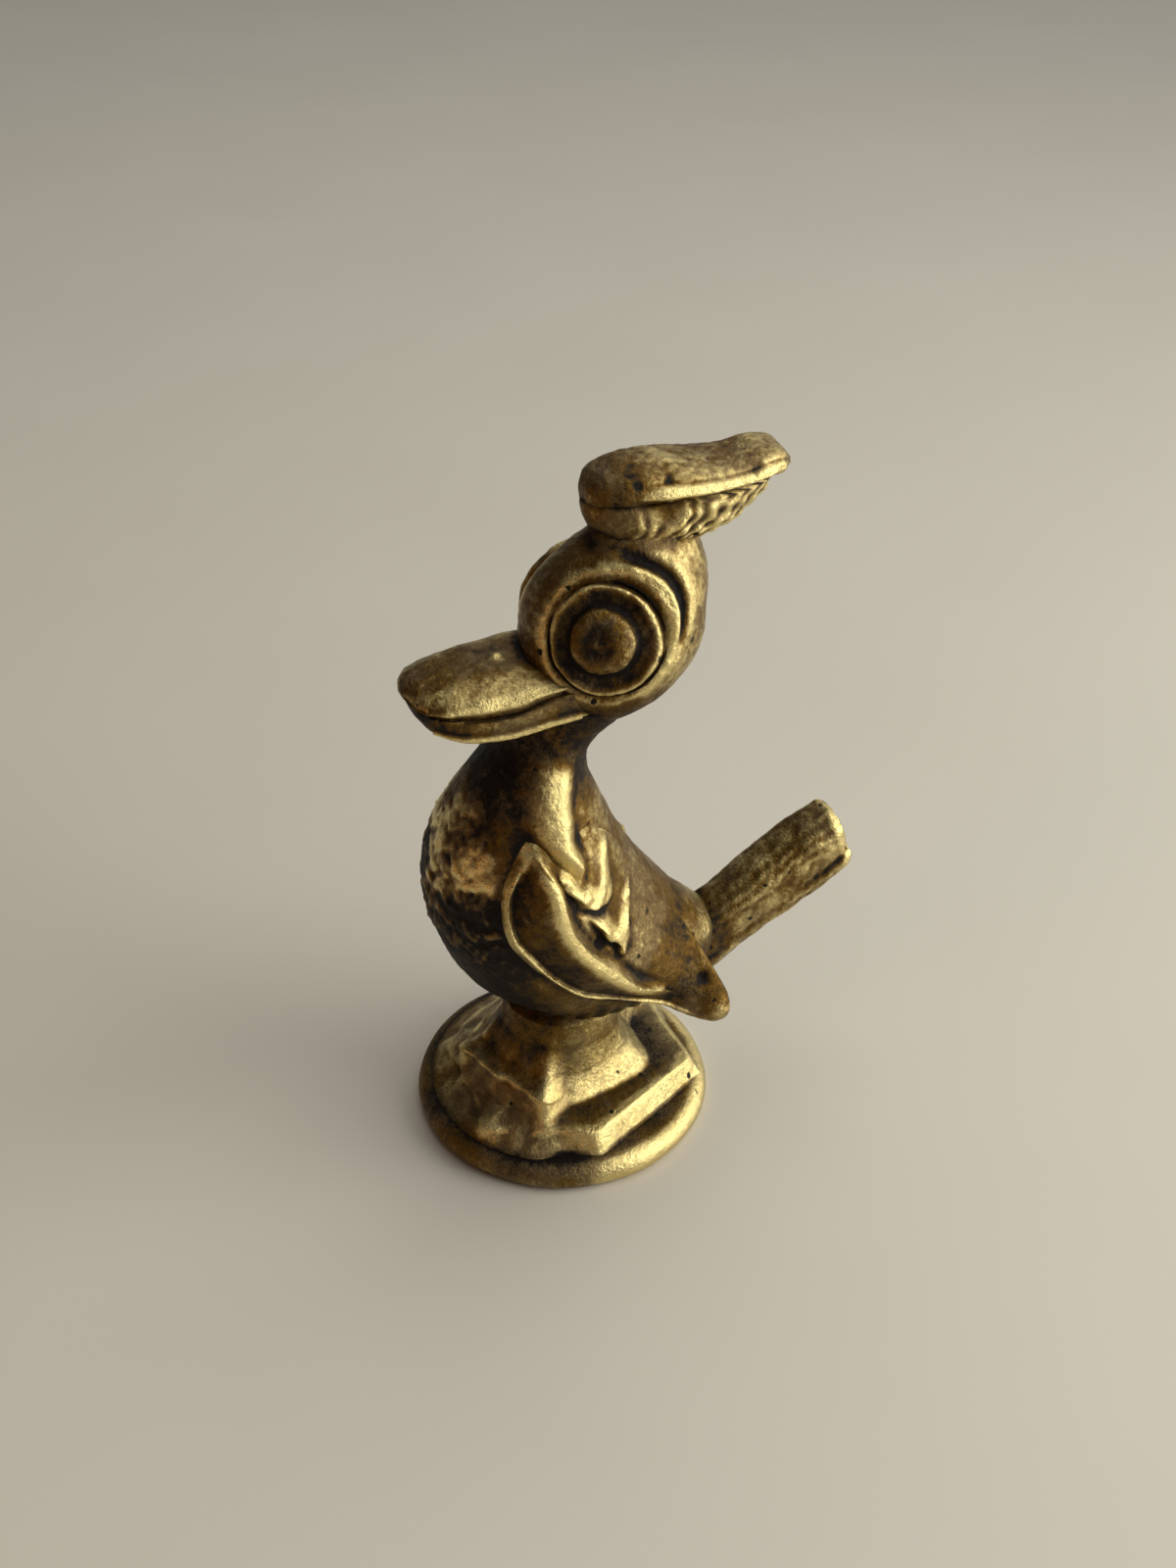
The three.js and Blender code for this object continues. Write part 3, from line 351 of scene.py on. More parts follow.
def fullness(z, turn):
    """Over 1 towards the breast (turn 1), under 1 towards the back (turn -1), and 1 up the neck."""
    return 1 + BREAST_FULLNESS * smooth(NECK_LOW - z, 0, 12) * turn


def flank(y, z):
    """Half the body's width at a place in side view: the oval's height there, by Pythagoras."""
    front, back, half = [through(BODY_SLICES, k, z) for k in (1, 2, 3)]
    turn = np.clip((front + back - 2 * y) / (back - front), -1, 1)
    return half * np.sqrt(1 - turn * turn) * fullness(z, turn)


def body_points():
    """An oval at each height: x is half width times sine, y runs from breast to back by the cosine."""
    share, turn = grid(270, 340)
    stations = np.column_stack([np.linspace(0, 1, len(BODY_SLICES)), np.array(BODY_SLICES)[:, 0]])
    z = through(stations, 1, share)
    front, back, half = [through(BODY_SLICES, k, z) for k in (1, 2, 3)]
    x = half * np.sin(turn) * fullness(z, np.cos(turn))
    y = (front + back) / 2 - (back - front) / 2 * np.cos(turn)
    return joined(x, y, BELLY + z)


def breast_scales(points):
    """The relief of rows that wave from side to side, strongest on the front and broken by chance, and
    the wave by itself, which is highest on each row's crest."""
    x, y, z = points[..., 0], points[..., 1], points[..., 2] - BELLY
    row = z / SCALE_SPACING + 0.12 * np.sin(2 * np.pi * x / 3.1) + 0.17 * waves(points, 3.6, 21)
    wave = np.sin(2 * np.pi * row) + 0.35 * np.sin(4 * np.pi * row + 1)
    front = smooth(-y, 5.5, 8.5) * smooth(z, 10, 14) * smooth(z, 25, 22)
    crumple = 0.03 * waves(points, 0.7, 24) + 0.03 * waves(points, 1.3, 25)
    broken = np.clip(0.6 + 0.5 * waves(points, 3, 22), 0, 1.2)
    return (0.06 * wave * broken + crumple) * front, wave * front


body = body_points()
body_y, body_z = body[..., 1], body[..., 2] - BELLY
pip = 0.3 * bump(norm(body - PIP_PLACE, axis=-1), 0.45)
notches = 0.12 * np.sin(2 * np.pi * body_y / NOTCH_SPACING) * bump(body_z - 3, 1.4)
scales, scale_crest = breast_scales(body)
body_relief = scales + pip + notches + cast_skin(body, 23)
print("body grid:", body.shape[:2])


# %% [markdown]
# Where castings meet, dirt stays, and the seams are darkened further as painted shade. The head's ball
# gives the crease at the neck, and the wing's lower edge, drawn in side view, the crease under the wing.
# We need the distance from a point to a drawn line, with a sign that tells the two sides apart.

# %% Lines drawn in side view
def drawn(places, count=60):
    """A smooth line through places, at equal steps: each coordinate runs through the stations by the
    summed length of the chords."""
    places = np.asarray(places, float)
    length = np.concatenate([[0], np.cumsum(norm(np.diff(places, axis=0), axis=1))])
    rows = np.column_stack([length / length[-1], places])
    share = np.linspace(0, 1, count)
    return np.column_stack([through(rows, 1, share), through(rows, 2, share)])


def apart(y, z, line):
    """The signed distance to a line of short straight pieces: the nearest of the pieces counts, and
    the sign is plus to the left of the way it runs."""
    best = np.full(np.broadcast(y, z).shape, 1e9)
    side = np.ones_like(best)
    for (y0, z0), (y1, z1) in zip(line[:-1], line[1:]):
        dy, dz = y1 - y0, z1 - z0
        t = np.clip(((y - y0) * dy + (z - z0) * dz) / (dy * dy + dz * dz), 0, 1)
        away = np.hypot(y - y0 - t * dy, z - z0 - t * dz)
        nearer = away < best
        best = np.where(nearer, away, best)
        side = np.where(nearer, np.where(dy * (z - z0) - dz * (y - y0) < 0, -1, 1), side)
    return best * side


WING_LOWER = drawn([
    [-4.6, 23.2], [-6.1, 21.4], [-7.2, 19.4], [-7.4, 17.7], [-7, 15.6], [-5.8, 13.7], [-3.8, 11],
    [-1.5, 8.7], [0.6, 7.4], [2.7, 6.1], [5.4, 4.5], [7.9, 3], [9.9, 1.95], [11, 1.85], [11.8, 2.4],
], 120)
WING_UPPER = drawn([
    [-4.6, 23.2], [-1.5, 23.6], [1.6, 21.7], [4.5, 17.8], [7.9, 12.8], [9.6, 9.3], [11.4, 5.8],
    [12.1, 3.7], [11.8, 2.4],
], 120)
# The tongue's edge: down to its tip from the shoulder's side, then up to the neck
TONGUE_EDGE = drawn([
    [-4.8, 23.4], [-4.2, 22.5], [-3.4, 21.5], [-2.3, 20.5], [-1.3, 19.6], [-0.6, 20.1], [-0.5, 20.9],
    [-0.8, 21.7], [-1, 22.7], [-0.9, 23.5], [-0.8, 24.9], [-0.4, 26.3], [0, 27.9], [0.4, 28.7],
], 120)


def on_tongue(y, z):
    """1 inside the tongue's edge, falling softly to 0 outside it and towards the breast."""
    inside = smooth(apart(y, z, TONGUE_EDGE), -0.4, 1.2)
    return inside * smooth(-y, 5.4, 2) * smooth(z, 29, 27)


HEAD_RADIUS = 7.0
HEAD_LOW = np.array(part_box("head")[0]) / MM
HEAD_CENTRE = np.array([0, HEAD_LOW[1] + HEAD_RADIUS, HEAD_LOW[2] + HEAD_RADIUS])
HEAD_Y, HEAD_Z = HEAD_CENTRE[1:]
to_head = norm(body - HEAD_CENTRE, axis=-1) - HEAD_RADIUS
to_wing = np.abs(apart(body_y, body_z, WING_LOWER))
tongue = on_tongue(body_y, body_z)
body_relief += tongue * through(TONGUE, 1, body_z)
breast = smooth(-body_y, 1, 7)
# Where the neck meets the head and under the wing's edge the body is darkened: dirt and painted shade
body_film_and_shade = 0.15 + 0.2 * bump(np.maximum(to_head, 0), 1.2) + 0.35 * bump(to_wing, 0.5)
# Painted shade: the breast faces away from the window lamp and gets thick film, less of it high up; the
# body also darkens towards the belly
body_film_and_shade += 0.84 * breast * (1 - 0.7 * smooth(body_z, 16, 22))
body_film_and_shade += 0.5 * smooth(body_z, 12, 2)
# Wear and a painted highlight: the tongue of feathers is rubbed bright only on its rear part, towards the
# window lamp
body_film_and_shade -= 0.8 * tongue * smooth(body_y, -4.5, -1.5)
# The upper breast is rubbed bright in patches, most of all on the crests of its scales
patches = smooth(waves(body, 5, 27), -0.8, 0.6) * smooth(body_z, 14, 18)
patches *= smooth(body_z, 26, 23) * smooth(-body_y, 6, 8.5)
body_film_and_shade -= 0.75 * patches * (0.7 + 0.3 * smooth(scale_crest, -0.5, 0.9))
body_film_and_shade += 0.35 * smooth(body_z, 23, 27)
casting("body", raised(body, body_relief), body_film_and_shade)


# %% [markdown]
# The wing is the hardest piece. It lies on the egg, so its seat is the body's own half width, and its
# free tip stands off. A bead borders it, a smooth roll rises from the bead to the first long feather,
# and two feather tips overlap like tiles. Each edge is a line drawn in side view, and the signed
# distance to that line lifts one side over the other.

# %% Wing
LEAF_CREST = drawn([
    [-4.8, 22.8], [-4.1, 21.8], [-3.4, 20.5], [-3.1, 19.4], [-2.9, 18.2], [-2.5, 16.8], [-1.6, 14.9],
    [-0.4, 13.2], [1.6, 10.8], [3.6, 8.4], [6, 6.4],
])
FEATHER_TIPS = [
    drawn([[-2.7, 20.1], [-2.4, 19.4], [-1.8, 18.6], [-1, 17.8], [0.1, 17.1], [1, 16.8], [1.6, 17.3],
           [1.9, 18.2], [2, 19.3], [2.1, 20.3], [1.9, 21.2]], 90),
    drawn([[-2.4, 19], [-1.4, 17.3], [-0.5, 16.1], [0.6, 14.6], [1.6, 13], [2.3, 12.3], [2.8, 12.9],
           [3.1, 14], [3.6, 14.9], [3.9, 15.8], [4.1, 16.6]], 90),
]
TIP_BREADTHS = 1.1, 1.9
# The roll's height from the border, share 0, to the crest of the first feather, share 1
ROLL = [[0, 0], [0.1, -0.1], [0.2, -0.3], [0.35, -0.05], [0.55, 0.4], [0.75, 0.75], [0.9, 0.9], [1, 0.85]]
# Pit by the feathers, dimple near the tip and nub on it: place in side view, width
WING_SPOTS = [[0.3, 13.9, 0.6], [9.9, 6.1, 0.5], [11, 3.3, 1.1]]
BEAD_INSET, BEAD_WIDTH = 0.4, 0.19
TIP_SPREAD = 7.6
WING_THICKNESS, WING_INSET = 1.0, 1.6
# Half turns of each ring on the outer face; the others lie on the seat
OUTER_TURN = 1.6


def along(line, share):
    """The place at a share of a line of equal steps, straight between its points."""
    station = np.linspace(0, 1, len(line))
    return np.interp(share, station, line[:, 0]), np.interp(share, station, line[:, 1])


def wing_relief(y, z, share):
    """Height over the wing's plain face in mm, and the film and painted light: bead, roll, crest,
    overlapping tips, pit, dimple and nub. Ridges are rubbed, so there it is below 0, and the crest is
    also a painted highlight. The roll's lower half and the groove under the tongue of feathers carry
    painted shade."""
    inset = np.abs(apart(y, z, WING_LOWER))
    leaf = apart(y, z, LEAF_CREST)
    free = smooth(share, 0.85, 0.6)
    ridge = bump(inset - BEAD_INSET, BEAD_WIDTH)
    ridge *= smooth(share, 0.03, 0.15) * smooth(share, 0.95, 0.75)
    between = np.clip(inset / (inset + np.abs(leaf) + 1e-6), 0, 1)
    wide = smooth(inset + np.abs(leaf), 0.8, 2.5)
    crest = bump(leaf + 0.35, 0.6)
    above = 0.85 * bump(leaf, 0.3) - 0.2 * bump(leaf - 0.7, 0.35)
    relief = 0.55 * ridge + free * np.where(leaf < 0, wide * through(ROLL, 1, between), above)
    # Painted shade in the roll's lower half, which faces down; the crest is rubbed bright, partly as a
    # painted highlight
    in_roll = np.where(leaf < 0, smooth(between, 0.95, 0.6), 0) * smooth(inset, 0.6, 0.9)
    film_and_painted_light = free * (0.55 * in_roll - 0.5 * crest) - 0.55 * ridge + 0.25 * smooth(share, 0.45, 0.7)
    past_crest = smooth(leaf, 0.1, 0.7)
    place = joined(y, z, 0)
    uneven = 1 + 0.3 * waves(place, 1.3, 33)
    ragged = 0.1 * waves(place, 1.7, 34)
    for line, breadth in zip(FEATHER_TIPS, TIP_BREADTHS):
        inside = apart(y, z, line) + ragged
        low = line[:, 1].min()
        thick = 0.55 + breadth * bump(z - low - 0.4, 1.7)
        ended = smooth(z, line[-1, 1] + 0.2, line[-1, 1] - 0.9)
        curl = smooth(inside, -0.25, 0.3) * smooth(inside, thick + 0.9, thick - 0.4) * ended
        rear = smooth(y - line[line[:, 1].argmin(), 0], -0.6, 0.6)
        gap = bump(inside + 0.3, 0.28) * ended * (1 - 0.75 * rear)
        relief += (0.5 * curl * uneven - 0.2 * gap) * past_crest
        film_and_painted_light += (0.25 * gap - 0.45 * curl) * past_crest
    # The groove under the tongue of feathers is darkened: dirt and painted shade
    under_tongue = bump(apart(y, z, TONGUE_EDGE) + 0.35, 0.3) * smooth(leaf, -0.2, 0.4)
    pit, dimple, nub = [bump(np.hypot(y - back, z - up), width) for back, up, width in WING_SPOTS]
    relief += 0.6 * nub - 0.2 * under_tongue - 0.4 * pit - 0.3 * dimple
    film_and_painted_light += 0.15 * under_tongue + 0.4 * pit + 0.3 * dimple - 0.3 * nub
    edge_on = 1 - 0.35 * smooth(inset, 2.5, 0) * smooth(share, 0.9, 0.65)
    return relief * smooth(share, 0.01, 0.15) + edge_on - 1, film_and_painted_light


def wing_points():
    """Shares of the way from shoulder to tip give a place on the lower and on the upper edge, and the
    turn carries a point from one to the other over the outer face and back under it. The face thins
    out to the upper edge and under the tongue of feathers, and the tip is round like a quarter circle."""
    share, turn = grid(260, 340)
    share = share - 0.08 * np.sin(2 * np.pi * share)
    outer = turn < OUTER_TURN * np.pi
    angle = np.where(outer, turn / OUTER_TURN, np.pi + (turn - OUTER_TURN * np.pi) / (2 - OUTER_TURN))
    across = (1 + np.cos(angle)) / 2
    lower, upper = along(WING_LOWER, share), along(WING_UPPER, share)
    y = lower[0] + (upper[0] - lower[0]) * across
    z = lower[1] + (upper[1] - lower[1]) * across
    spread = through([[0, 0], [0.6, 0], [0.85, 0.85 * TIP_SPREAD], [1, TIP_SPREAD]], 1, share)
    seat, stand = flank(y, z), spread - flank(y, z)
    seat = seat + (stand + np.sqrt(stand ** 2 + 1.5 ** 2)) / 2 - 0.2
    rise = np.abs(np.sin(angle)) ** 0.5
    ends = smooth(share, 0, 0.12) * np.sqrt(1 - np.clip((share - 0.95) / 0.05, 0, 1) ** 2) + 0.05
    free = 1 - on_tongue(y, z)
    thin = 1 - 0.9 * smooth(across, 0.5, 1) * smooth(share, 0.9, 0.65)
    relief, film_and_painted_light = wing_relief(y, z, share)
    lift = (WING_THICKNESS * thin + relief) * (0.1 + 0.9 * free)
    x = seat + np.where(outer, lift, -WING_INSET) * rise * ends
    return joined(x, y, BELLY + z), film_and_painted_light


wing, wing_film_and_painted_light = wing_points()
wing = raised(wing, cast_skin(wing, 31, 0.8))
casting("left_wing", wing, wing_film_and_painted_light)
casting("right_wing", mirrored(wing), wing_film_and_painted_light[:, ::-1])


# %% [markdown]
# The tail is a straight bar that slants up behind. Its section is a squared oval with ridges along it
# and one strong groove low on each side, so a section carried along a straight path is all it needs.

# %% Tail
TAIL_RISE = np.radians(33)
TAIL_HEIGHT, TAIL_LENGTH, TAIL_BURIED = 3.5, 17.1, 2.0
TAIL_SECTIONS = [[0, 2.5, 2.95], [0.3, 2.5, 2.95], [0.92, 2.5, 3], [0.97, 2.4, 2.9], [1, 2, 2.6]]
TAIL_END_SLANT, TAIL_SQUARENESS = 0.25, 0.6
# Ridges round the section, and the groove's turn from the top in radians
TAIL_RIDGES, TAIL_GROOVE = 11, 1.74
# Share of the rings that lie along the sides; the others close the end
TAIL_SIDES = 0.88


def tail_points(share, turn):
    """A squared oval at each share of the length, set square to the tail's line. The end is cut on
    the slant: the top reaches further by a part of its height, and the last rings close it."""
    closing = 1 - 0.95 * np.clip((share - TAIL_SIDES) / (1 - TAIL_SIDES), 0, 1)
    share = np.minimum(share / TAIL_SIDES, 1)
    way = np.array([0, np.cos(TAIL_RISE), np.sin(TAIL_RISE)])
    up = np.array([0, -way[2], way[1]])
    root = np.array([0, through(BODY_SLICES, 2, TAIL_HEIGHT) - TAIL_BURIED, BELLY + TAIL_HEIGHT])
    across = closing * through(TAIL_SECTIONS, 1, share) * squared(np.sin(turn), TAIL_SQUARENESS)
    over = closing * through(TAIL_SECTIONS, 2, share) * squared(np.cos(turn), TAIL_SQUARENESS)
    x_axis = np.array([1, 0, 0])
    reach = share * (TAIL_LENGTH + TAIL_END_SLANT * over)
    return root + reach[..., None] * way + over[..., None] * up + across[..., None] * x_axis


tail_share, tail_turn = grid(170, 220)
tail = tail_points(tail_share, tail_turn)
on_end = smooth(tail_share, TAIL_SIDES, TAIL_SIDES + 0.02)
tail_share = np.minimum(tail_share / TAIL_SIDES, 1)
off_top = np.abs(np.angle(np.exp(1j * tail_turn)))
near_end = smooth(tail_share, 0.6, 0.95)
groove = bump(off_top - TAIL_GROOVE, 0.15)
ridges = 0.035 * np.cos(TAIL_RIDGES * tail_turn + waves(tail, 6, 42))
ridges = (ridges - (0.12 + 0.25 * near_end) * groove) * (1 - on_end)
tail_relief = ridges - 0.12 - 0.08 * on_end + cast_skin(tail, 41, 1.3)
to_body = tail[..., 1] - through(BODY_SLICES, 2, np.clip(tail[..., 2] - BELLY, 0, 30))
end_edge = bump(tail_share - 0.98, 0.03) * smooth(off_top, 1.2, 1.6)
# Where the tail leaves the body it is darkened: dirt and painted shade
tail_film_and_shade = 0.08 + 0.5 * bump(np.maximum(to_body, 0), 0.8)
tail_film_and_shade += (0.2 * groove * near_end - 0.6 * end_edge) * (1 - on_end)
casting("tail", raised(tail, tail_relief), tail_film_and_shade)


# %% [markdown]
# The head is a ball that runs up into a crown, where the crest sits. Over each eye a thin ridge winds
# outwards from the eye's ring, and a groove outside it sets off the brow. Both are drawn on the ball
# with polar coordinates round the eye's axis: a distance over the ball and a turn from straight above.

# %% Head
CROWN_HEIGHT = 9.0
# Crown: share of its height, then lean, half depth and half width against the ball's radius
CROWN = [
    [0, 0, 1, 1], [0.24, 0.03, 0.99, 0.97], [0.43, 0.09, 0.95, 0.87], [0.59, 0.16, 0.85, 0.73],
    [0.73, 0.25, 0.71, 0.58], [0.84, 0.31, 0.6, 0.45], [0.93, 0.33, 0.52, 0.36], [1, 0.34, 0.38, 0.26],
]
# Chin: share of the way down, then lean and half depth lost where the nape is drawn in
CHIN = [[0, 0, 0], [0.25, -0.07, 0.06], [0.5, -0.19, 0.17], [0.75, -0.22, 0.2], [1, -0.12, 0]]
EYE_FORWARD, EYE_UP = np.radians([26, 18.7])
EYE_AXIS = np.array([
    np.cos(EYE_FORWARD) * np.cos(EYE_UP), -np.sin(EYE_FORWARD) * np.cos(EYE_UP), np.sin(EYE_UP),
])
EYE_FRONT = np.cross(EYE_AXIS, [0, 0, 1]) / np.cos(EYE_UP)
EYE_ABOVE = np.cross(EYE_FRONT, EYE_AXIS)
EYE_RADIUS, SOCKET_DEPTH = 4.8, 1.2
# Round the eye: turn from above to the rear in degrees, distance from the eye's axis over the ball
BROW_RIDGE = [[-180, 5.4], [0, 5.6], [22, 5.7], [51, 6], [78, 5.8], [180, 5.4]]
BROW_GROOVE = [[-180, 6.2], [0, 6.2], [24, 6.45], [48, 6.85], [63, 6.8], [82, 6.4], [180, 6.2]]


def head_points():
    """Ovals up the height: a ball below its middle, drawn in at the nape, and above it the crown's
    lean, depth and width."""
    share, turn = grid(240, 320)
    rise = 2 * share - 1
    up, down = np.maximum(rise, 0), np.maximum(-rise, 0)
    ball = np.cos(down * np.pi / 2)
    lean = through(CROWN, 1, up) + through(CHIN, 1, down)
    depth = np.where(rise > 0, through(CROWN, 2, up), ball - through(CHIN, 2, down))
    width = np.where(rise > 0, through(CROWN, 3, up), ball)
    height = np.where(rise > 0, CROWN_HEIGHT * up, -HEAD_RADIUS * np.sin(down * np.pi / 2))
    x = HEAD_RADIUS * width * np.sin(turn)
    y = HEAD_RADIUS * (lean - np.maximum(depth, 0) * np.cos(turn))
    return joined(x, y, height) + HEAD_CENTRE


def round_eye(points):
    """Distance over the ball from the nearer eye's axis, in mm, and the turn from above to the rear."""
    way = points - HEAD_CENTRE
    way = joined(np.abs(way[..., 0]), way[..., 1], way[..., 2])
    way = way / norm(way, axis=-1, keepdims=True)
    distance = HEAD_RADIUS * np.arccos(np.clip(way @ EYE_AXIS, -1, 1))
    return distance, np.degrees(np.arctan2(-(way @ EYE_FRONT), way @ EYE_ABOVE))


def eye_edge(turn):
    """The eye's outline: its ring is a little wider behind the pupil than before it."""
    return EYE_RADIUS + 0.25 * np.sin(np.radians(turn))


head = head_points()
from_eye, brow_turn = round_eye(head)
past_edge = from_eye - eye_edge(brow_turn)
behind = smooth(brow_turn, 0, 25) * smooth(brow_turn, 100, 75)
groove = bump(from_eye - through(BROW_GROOVE, 1, brow_turn), 0.42) * behind
brow = 0.25 * bump(from_eye - through(BROW_RIDGE, 1, brow_turn), 0.32) * behind - 0.5 * groove
socket = SOCKET_DEPTH * smooth(past_edge, 0.55, -0.8)
to_crest = smooth(head[..., 2], HEAD_Z + 7, HEAD_Z + 8)
# The eye's socket and the crown under the crest are darkened: dirt and painted shade
head_film_and_shade = 0.25 * bump(past_edge, 0.5) + 0.4 * to_crest + 0.3 * groove
# Painted shade: the head's front, away from the window lamp, and its lower part, where the chin is in
# shade, get more film
head_film_and_shade += 0.2 * smooth(-head[..., 1], -3, 2)
below = smooth(HEAD_Z - head[..., 2], 1.5, 4.5)
head_film_and_shade += 0.5 * below + 0.1 - 0.1 * bump(from_eye - 7.6, 0.7) * behind
casting("head", raised(head, brow - socket + cast_skin(head, 51)), head_film_and_shade)


# %% [markdown]
# Each eye is a cap on the ball: a domed pupil with a dimple, a moat and a raised ring. One radial
# profile turned round the eye's axis gives all of them.

# %% Eyes
# Share of the rows on the eye's face, and of the face's rows on the pupil
EYE_FACE, PUPIL_ROWS = 0.9, 0.5
PUPIL_RADIUS = 2.6
# From the pupil's middle: distance, height over the ball
PUPIL = [[0, 0.42], [1, 0.4], [1.6, 0.33], [2.1, 0.18], [2.4, 0], [PUPIL_RADIUS, -0.3]]
# From the pupil's edge to the eye's: share of the way, height
EYE_RING = [
    [0, -0.35], [0.1, -0.5], [0.28, -0.4], [0.4, -0.2], [0.52, 0.12], [0.63, 0.25], [0.74, 0.15],
    [0.87, -0.2], [1, -0.45],
]


def eye_points(share, turn):
    """A point at distance r over the ball and turn t: the ball's centre plus radius and height, along
    the axis by cos(r / R) and away from it by sin(r / R)."""
    edge = eye_edge(-np.degrees(turn))
    out = np.clip((1 - share) / EYE_FACE, 0, 1)
    ring = np.clip((out - PUPIL_ROWS) / (1 - PUPIL_ROWS), 0, 1)
    on_pupil, on_ring = PUPIL_RADIUS * out / PUPIL_ROWS, PUPIL_RADIUS + ring * (edge - PUPIL_RADIUS)
    distance = np.where(out < PUPIL_ROWS, on_pupil, on_ring)
    height = np.where(out < PUPIL_ROWS, through(PUPIL, 1, distance), through(EYE_RING, 1, ring))
    height = np.where(share < 1 - EYE_FACE, -1 + 8.8 * share, height)
    off_dish = np.hypot(distance * np.cos(turn) + 0.2, distance * np.sin(turn) - 0.5)
    height = height - 0.24 * smooth(off_dish, 1.7, 0.6) + 0.2 * bump(off_dish, 0.28)
    angle = distance * (1 + 0.015 * np.sin(3 * turn + 1) + 0.008 * np.sin(7 * turn)) / HEAD_RADIUS
    aside = np.cos(turn)[..., None] * EYE_ABOVE + np.sin(turn)[..., None] * EYE_FRONT
    outward = np.cos(angle)[..., None] * EYE_AXIS + np.sin(angle)[..., None] * aside
    return HEAD_CENTRE + (HEAD_RADIUS + height)[..., None] * outward, off_dish


eye_share, eye_turn = grid(150, 200)
eye, off_dish = eye_points(eye_share, eye_turn)
eye = raised(eye, cast_skin(eye, 61, 1.1))
eye_out = np.clip((1 - eye_share) / EYE_FACE, 0, 1)
eye_shelter = 0.42 + 0.1 * smooth(off_dish, 1.7, 0.9) + 0.15 * smooth(eye_out, 0.93, 1)
eye_shelter += 0.25 * bump(eye_out - 0.56, 0.06) - 0.4 * bump(eye_out - 0.82, 0.05)
eye_shelter -= 0.15 * bump(eye_out - 0.38, 0.08)
casting("left_eye", eye, eye_shelter)
casting("right_eye", mirrored(eye), eye_shelter[:, ::-1])


# %% [markdown]
# The bill is two halves, each flat where they meet at the mouth. Both follow the same stations, so the
# groove between them stays even. The lower one has a lip along the mouth that the hand has worn bright.

# %% Bill
MOUTH = HEAD_Z - HEAD_RADIUS + 3.9
BILL_ROOT = HEAD_Y - HEAD_RADIUS + 5.8
BILL_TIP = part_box("upper_bill")[0][1] / MM
# Share of the length, then mouth, ridge and chin over the mouth's level, then half width
BILL = [
    [0, 0.7, 2.4, -2.8, 4.4], [0.3, 0.8, 2.5, -3.1, 4.6], [0.54, 0, 2.55, -3.4, 4.6],
    [0.76, 0, 2, -3, 4.3], [0.87, 0.05, 1.65, -2.2, 3.8], [0.95, 0.2, 1.35, -1.3, 2.8],
    [0.985, 0.3, 1.1, -0.6, 1.7], [1, 0.4, 0.85, -0.1, 0.7],
]
LIP = 0.3
# How far the skin lies under the plain form, so that its relief stays inside the CAD box
BILL_INSET = 0.05
PIMPLE_PLACE = [0.3, -4.9, MOUTH + 2.8]


def bill_points(share, turn, upper):
    """Half an oval over the mouth's level, or a squarer half under it, and the flat mouth to close it."""
    eased = 1 - (1 - share) ** 1.5
    mouth, ridge, chin, half = [through(BILL, k, eased) for k in (1, 2, 3, 4)]
    squareness = 0.85 if upper else 0.65
    over = np.maximum(np.cos(turn), 0) ** squareness
    z = mouth + over * (ridge - mouth) if upper else mouth - over * (mouth - chin)
    x = squared(np.sin(turn), squareness) * (-half if upper else half + LIP)
    tip = BILL_TIP + (0 if upper else 0.3)
    return joined(x, BILL_ROOT + (tip - BILL_ROOT) * eased, MOUTH + z)


bill_share, bill_turn = grid(170, 220)
upper_bill, lower_bill = [bill_points(bill_share, bill_turn, upper) for upper in (True, False)]
off_mouth = np.abs(np.abs(np.angle(np.exp(1j * bill_turn))) - np.pi / 2)
shown = (np.cos(bill_turn) > 0) * (upper_bill[..., 1] > BILL_TIP + 1.2)
pimple = 0.35 * bump(norm(upper_bill - PIMPLE_PLACE, axis=-1), 0.5)
upper_relief = pimple + (0.16 * bump(off_mouth - 0.2, 0.1) - 0.06 * bump(off_mouth, 0.08)) * shown
upper_relief += cast_skin(upper_bill, 71) - BILL_INSET
lower_relief = 0.2 * bump(off_mouth - 0.5, 0.1) - 0.12 * bump(off_mouth - 0.28, 0.12)
lower_relief = (lower_relief - 0.15 * bump(off_mouth - 0.72, 0.1)) * shown
lower_relief += cast_skin(lower_bill, 72, 0.8) - BILL_INSET
# Where the bill meets the head it is darkened: dirt and painted shade
to_ball = np.maximum(norm(upper_bill - HEAD_CENTRE, axis=-1) - HEAD_RADIUS, 0)
at_root = 0.5 * bump(to_ball, 0.6)
at_tip = smooth(upper_bill[..., 1], BILL_TIP + 5, BILL_TIP + 1)
on_top = smooth(np.cos(bill_turn), 0.8, 0.97)
upper_bill_film_and_light = at_root + 0.2 * bump(off_mouth, 0.06) + 0.3 * on_top
# The strip above the mouth is rubbed bright, partly as a painted highlight, and turns dark near the tip
# as painted shade
upper_bill_film_and_light -= 0.6 * bump(off_mouth - 0.32, 0.2) * shown * (1 - 2 * at_tip)
# Painted shade: the lower half's underside and its tip are darker
lower_bill_film_and_shade = 0.5 * at_root + 0.2 + 0.5 * smooth(off_mouth, 0.6, 0.8)
lower_bill_film_and_shade += 0.45 * at_tip - 0.55 * bump(off_mouth - 0.48, 0.12) * shown
casting("upper_bill", raised(upper_bill, upper_relief), upper_bill_film_and_light)
casting("lower_bill", raised(lower_bill, lower_relief), lower_bill_film_and_shade)


# %% [markdown]
# The crest is a collar of upright feathers with a boat-shaped plume on it. The feathers are knobs: a
# wave round the collar, leaning back, that is fullest half way up. The plume has a bead along its
# lower side with a groove under it.

# %% Crest
BAND_TOP = HEAD_Z + 10.6
BAND_LOW = HEAD_Z + 7.6
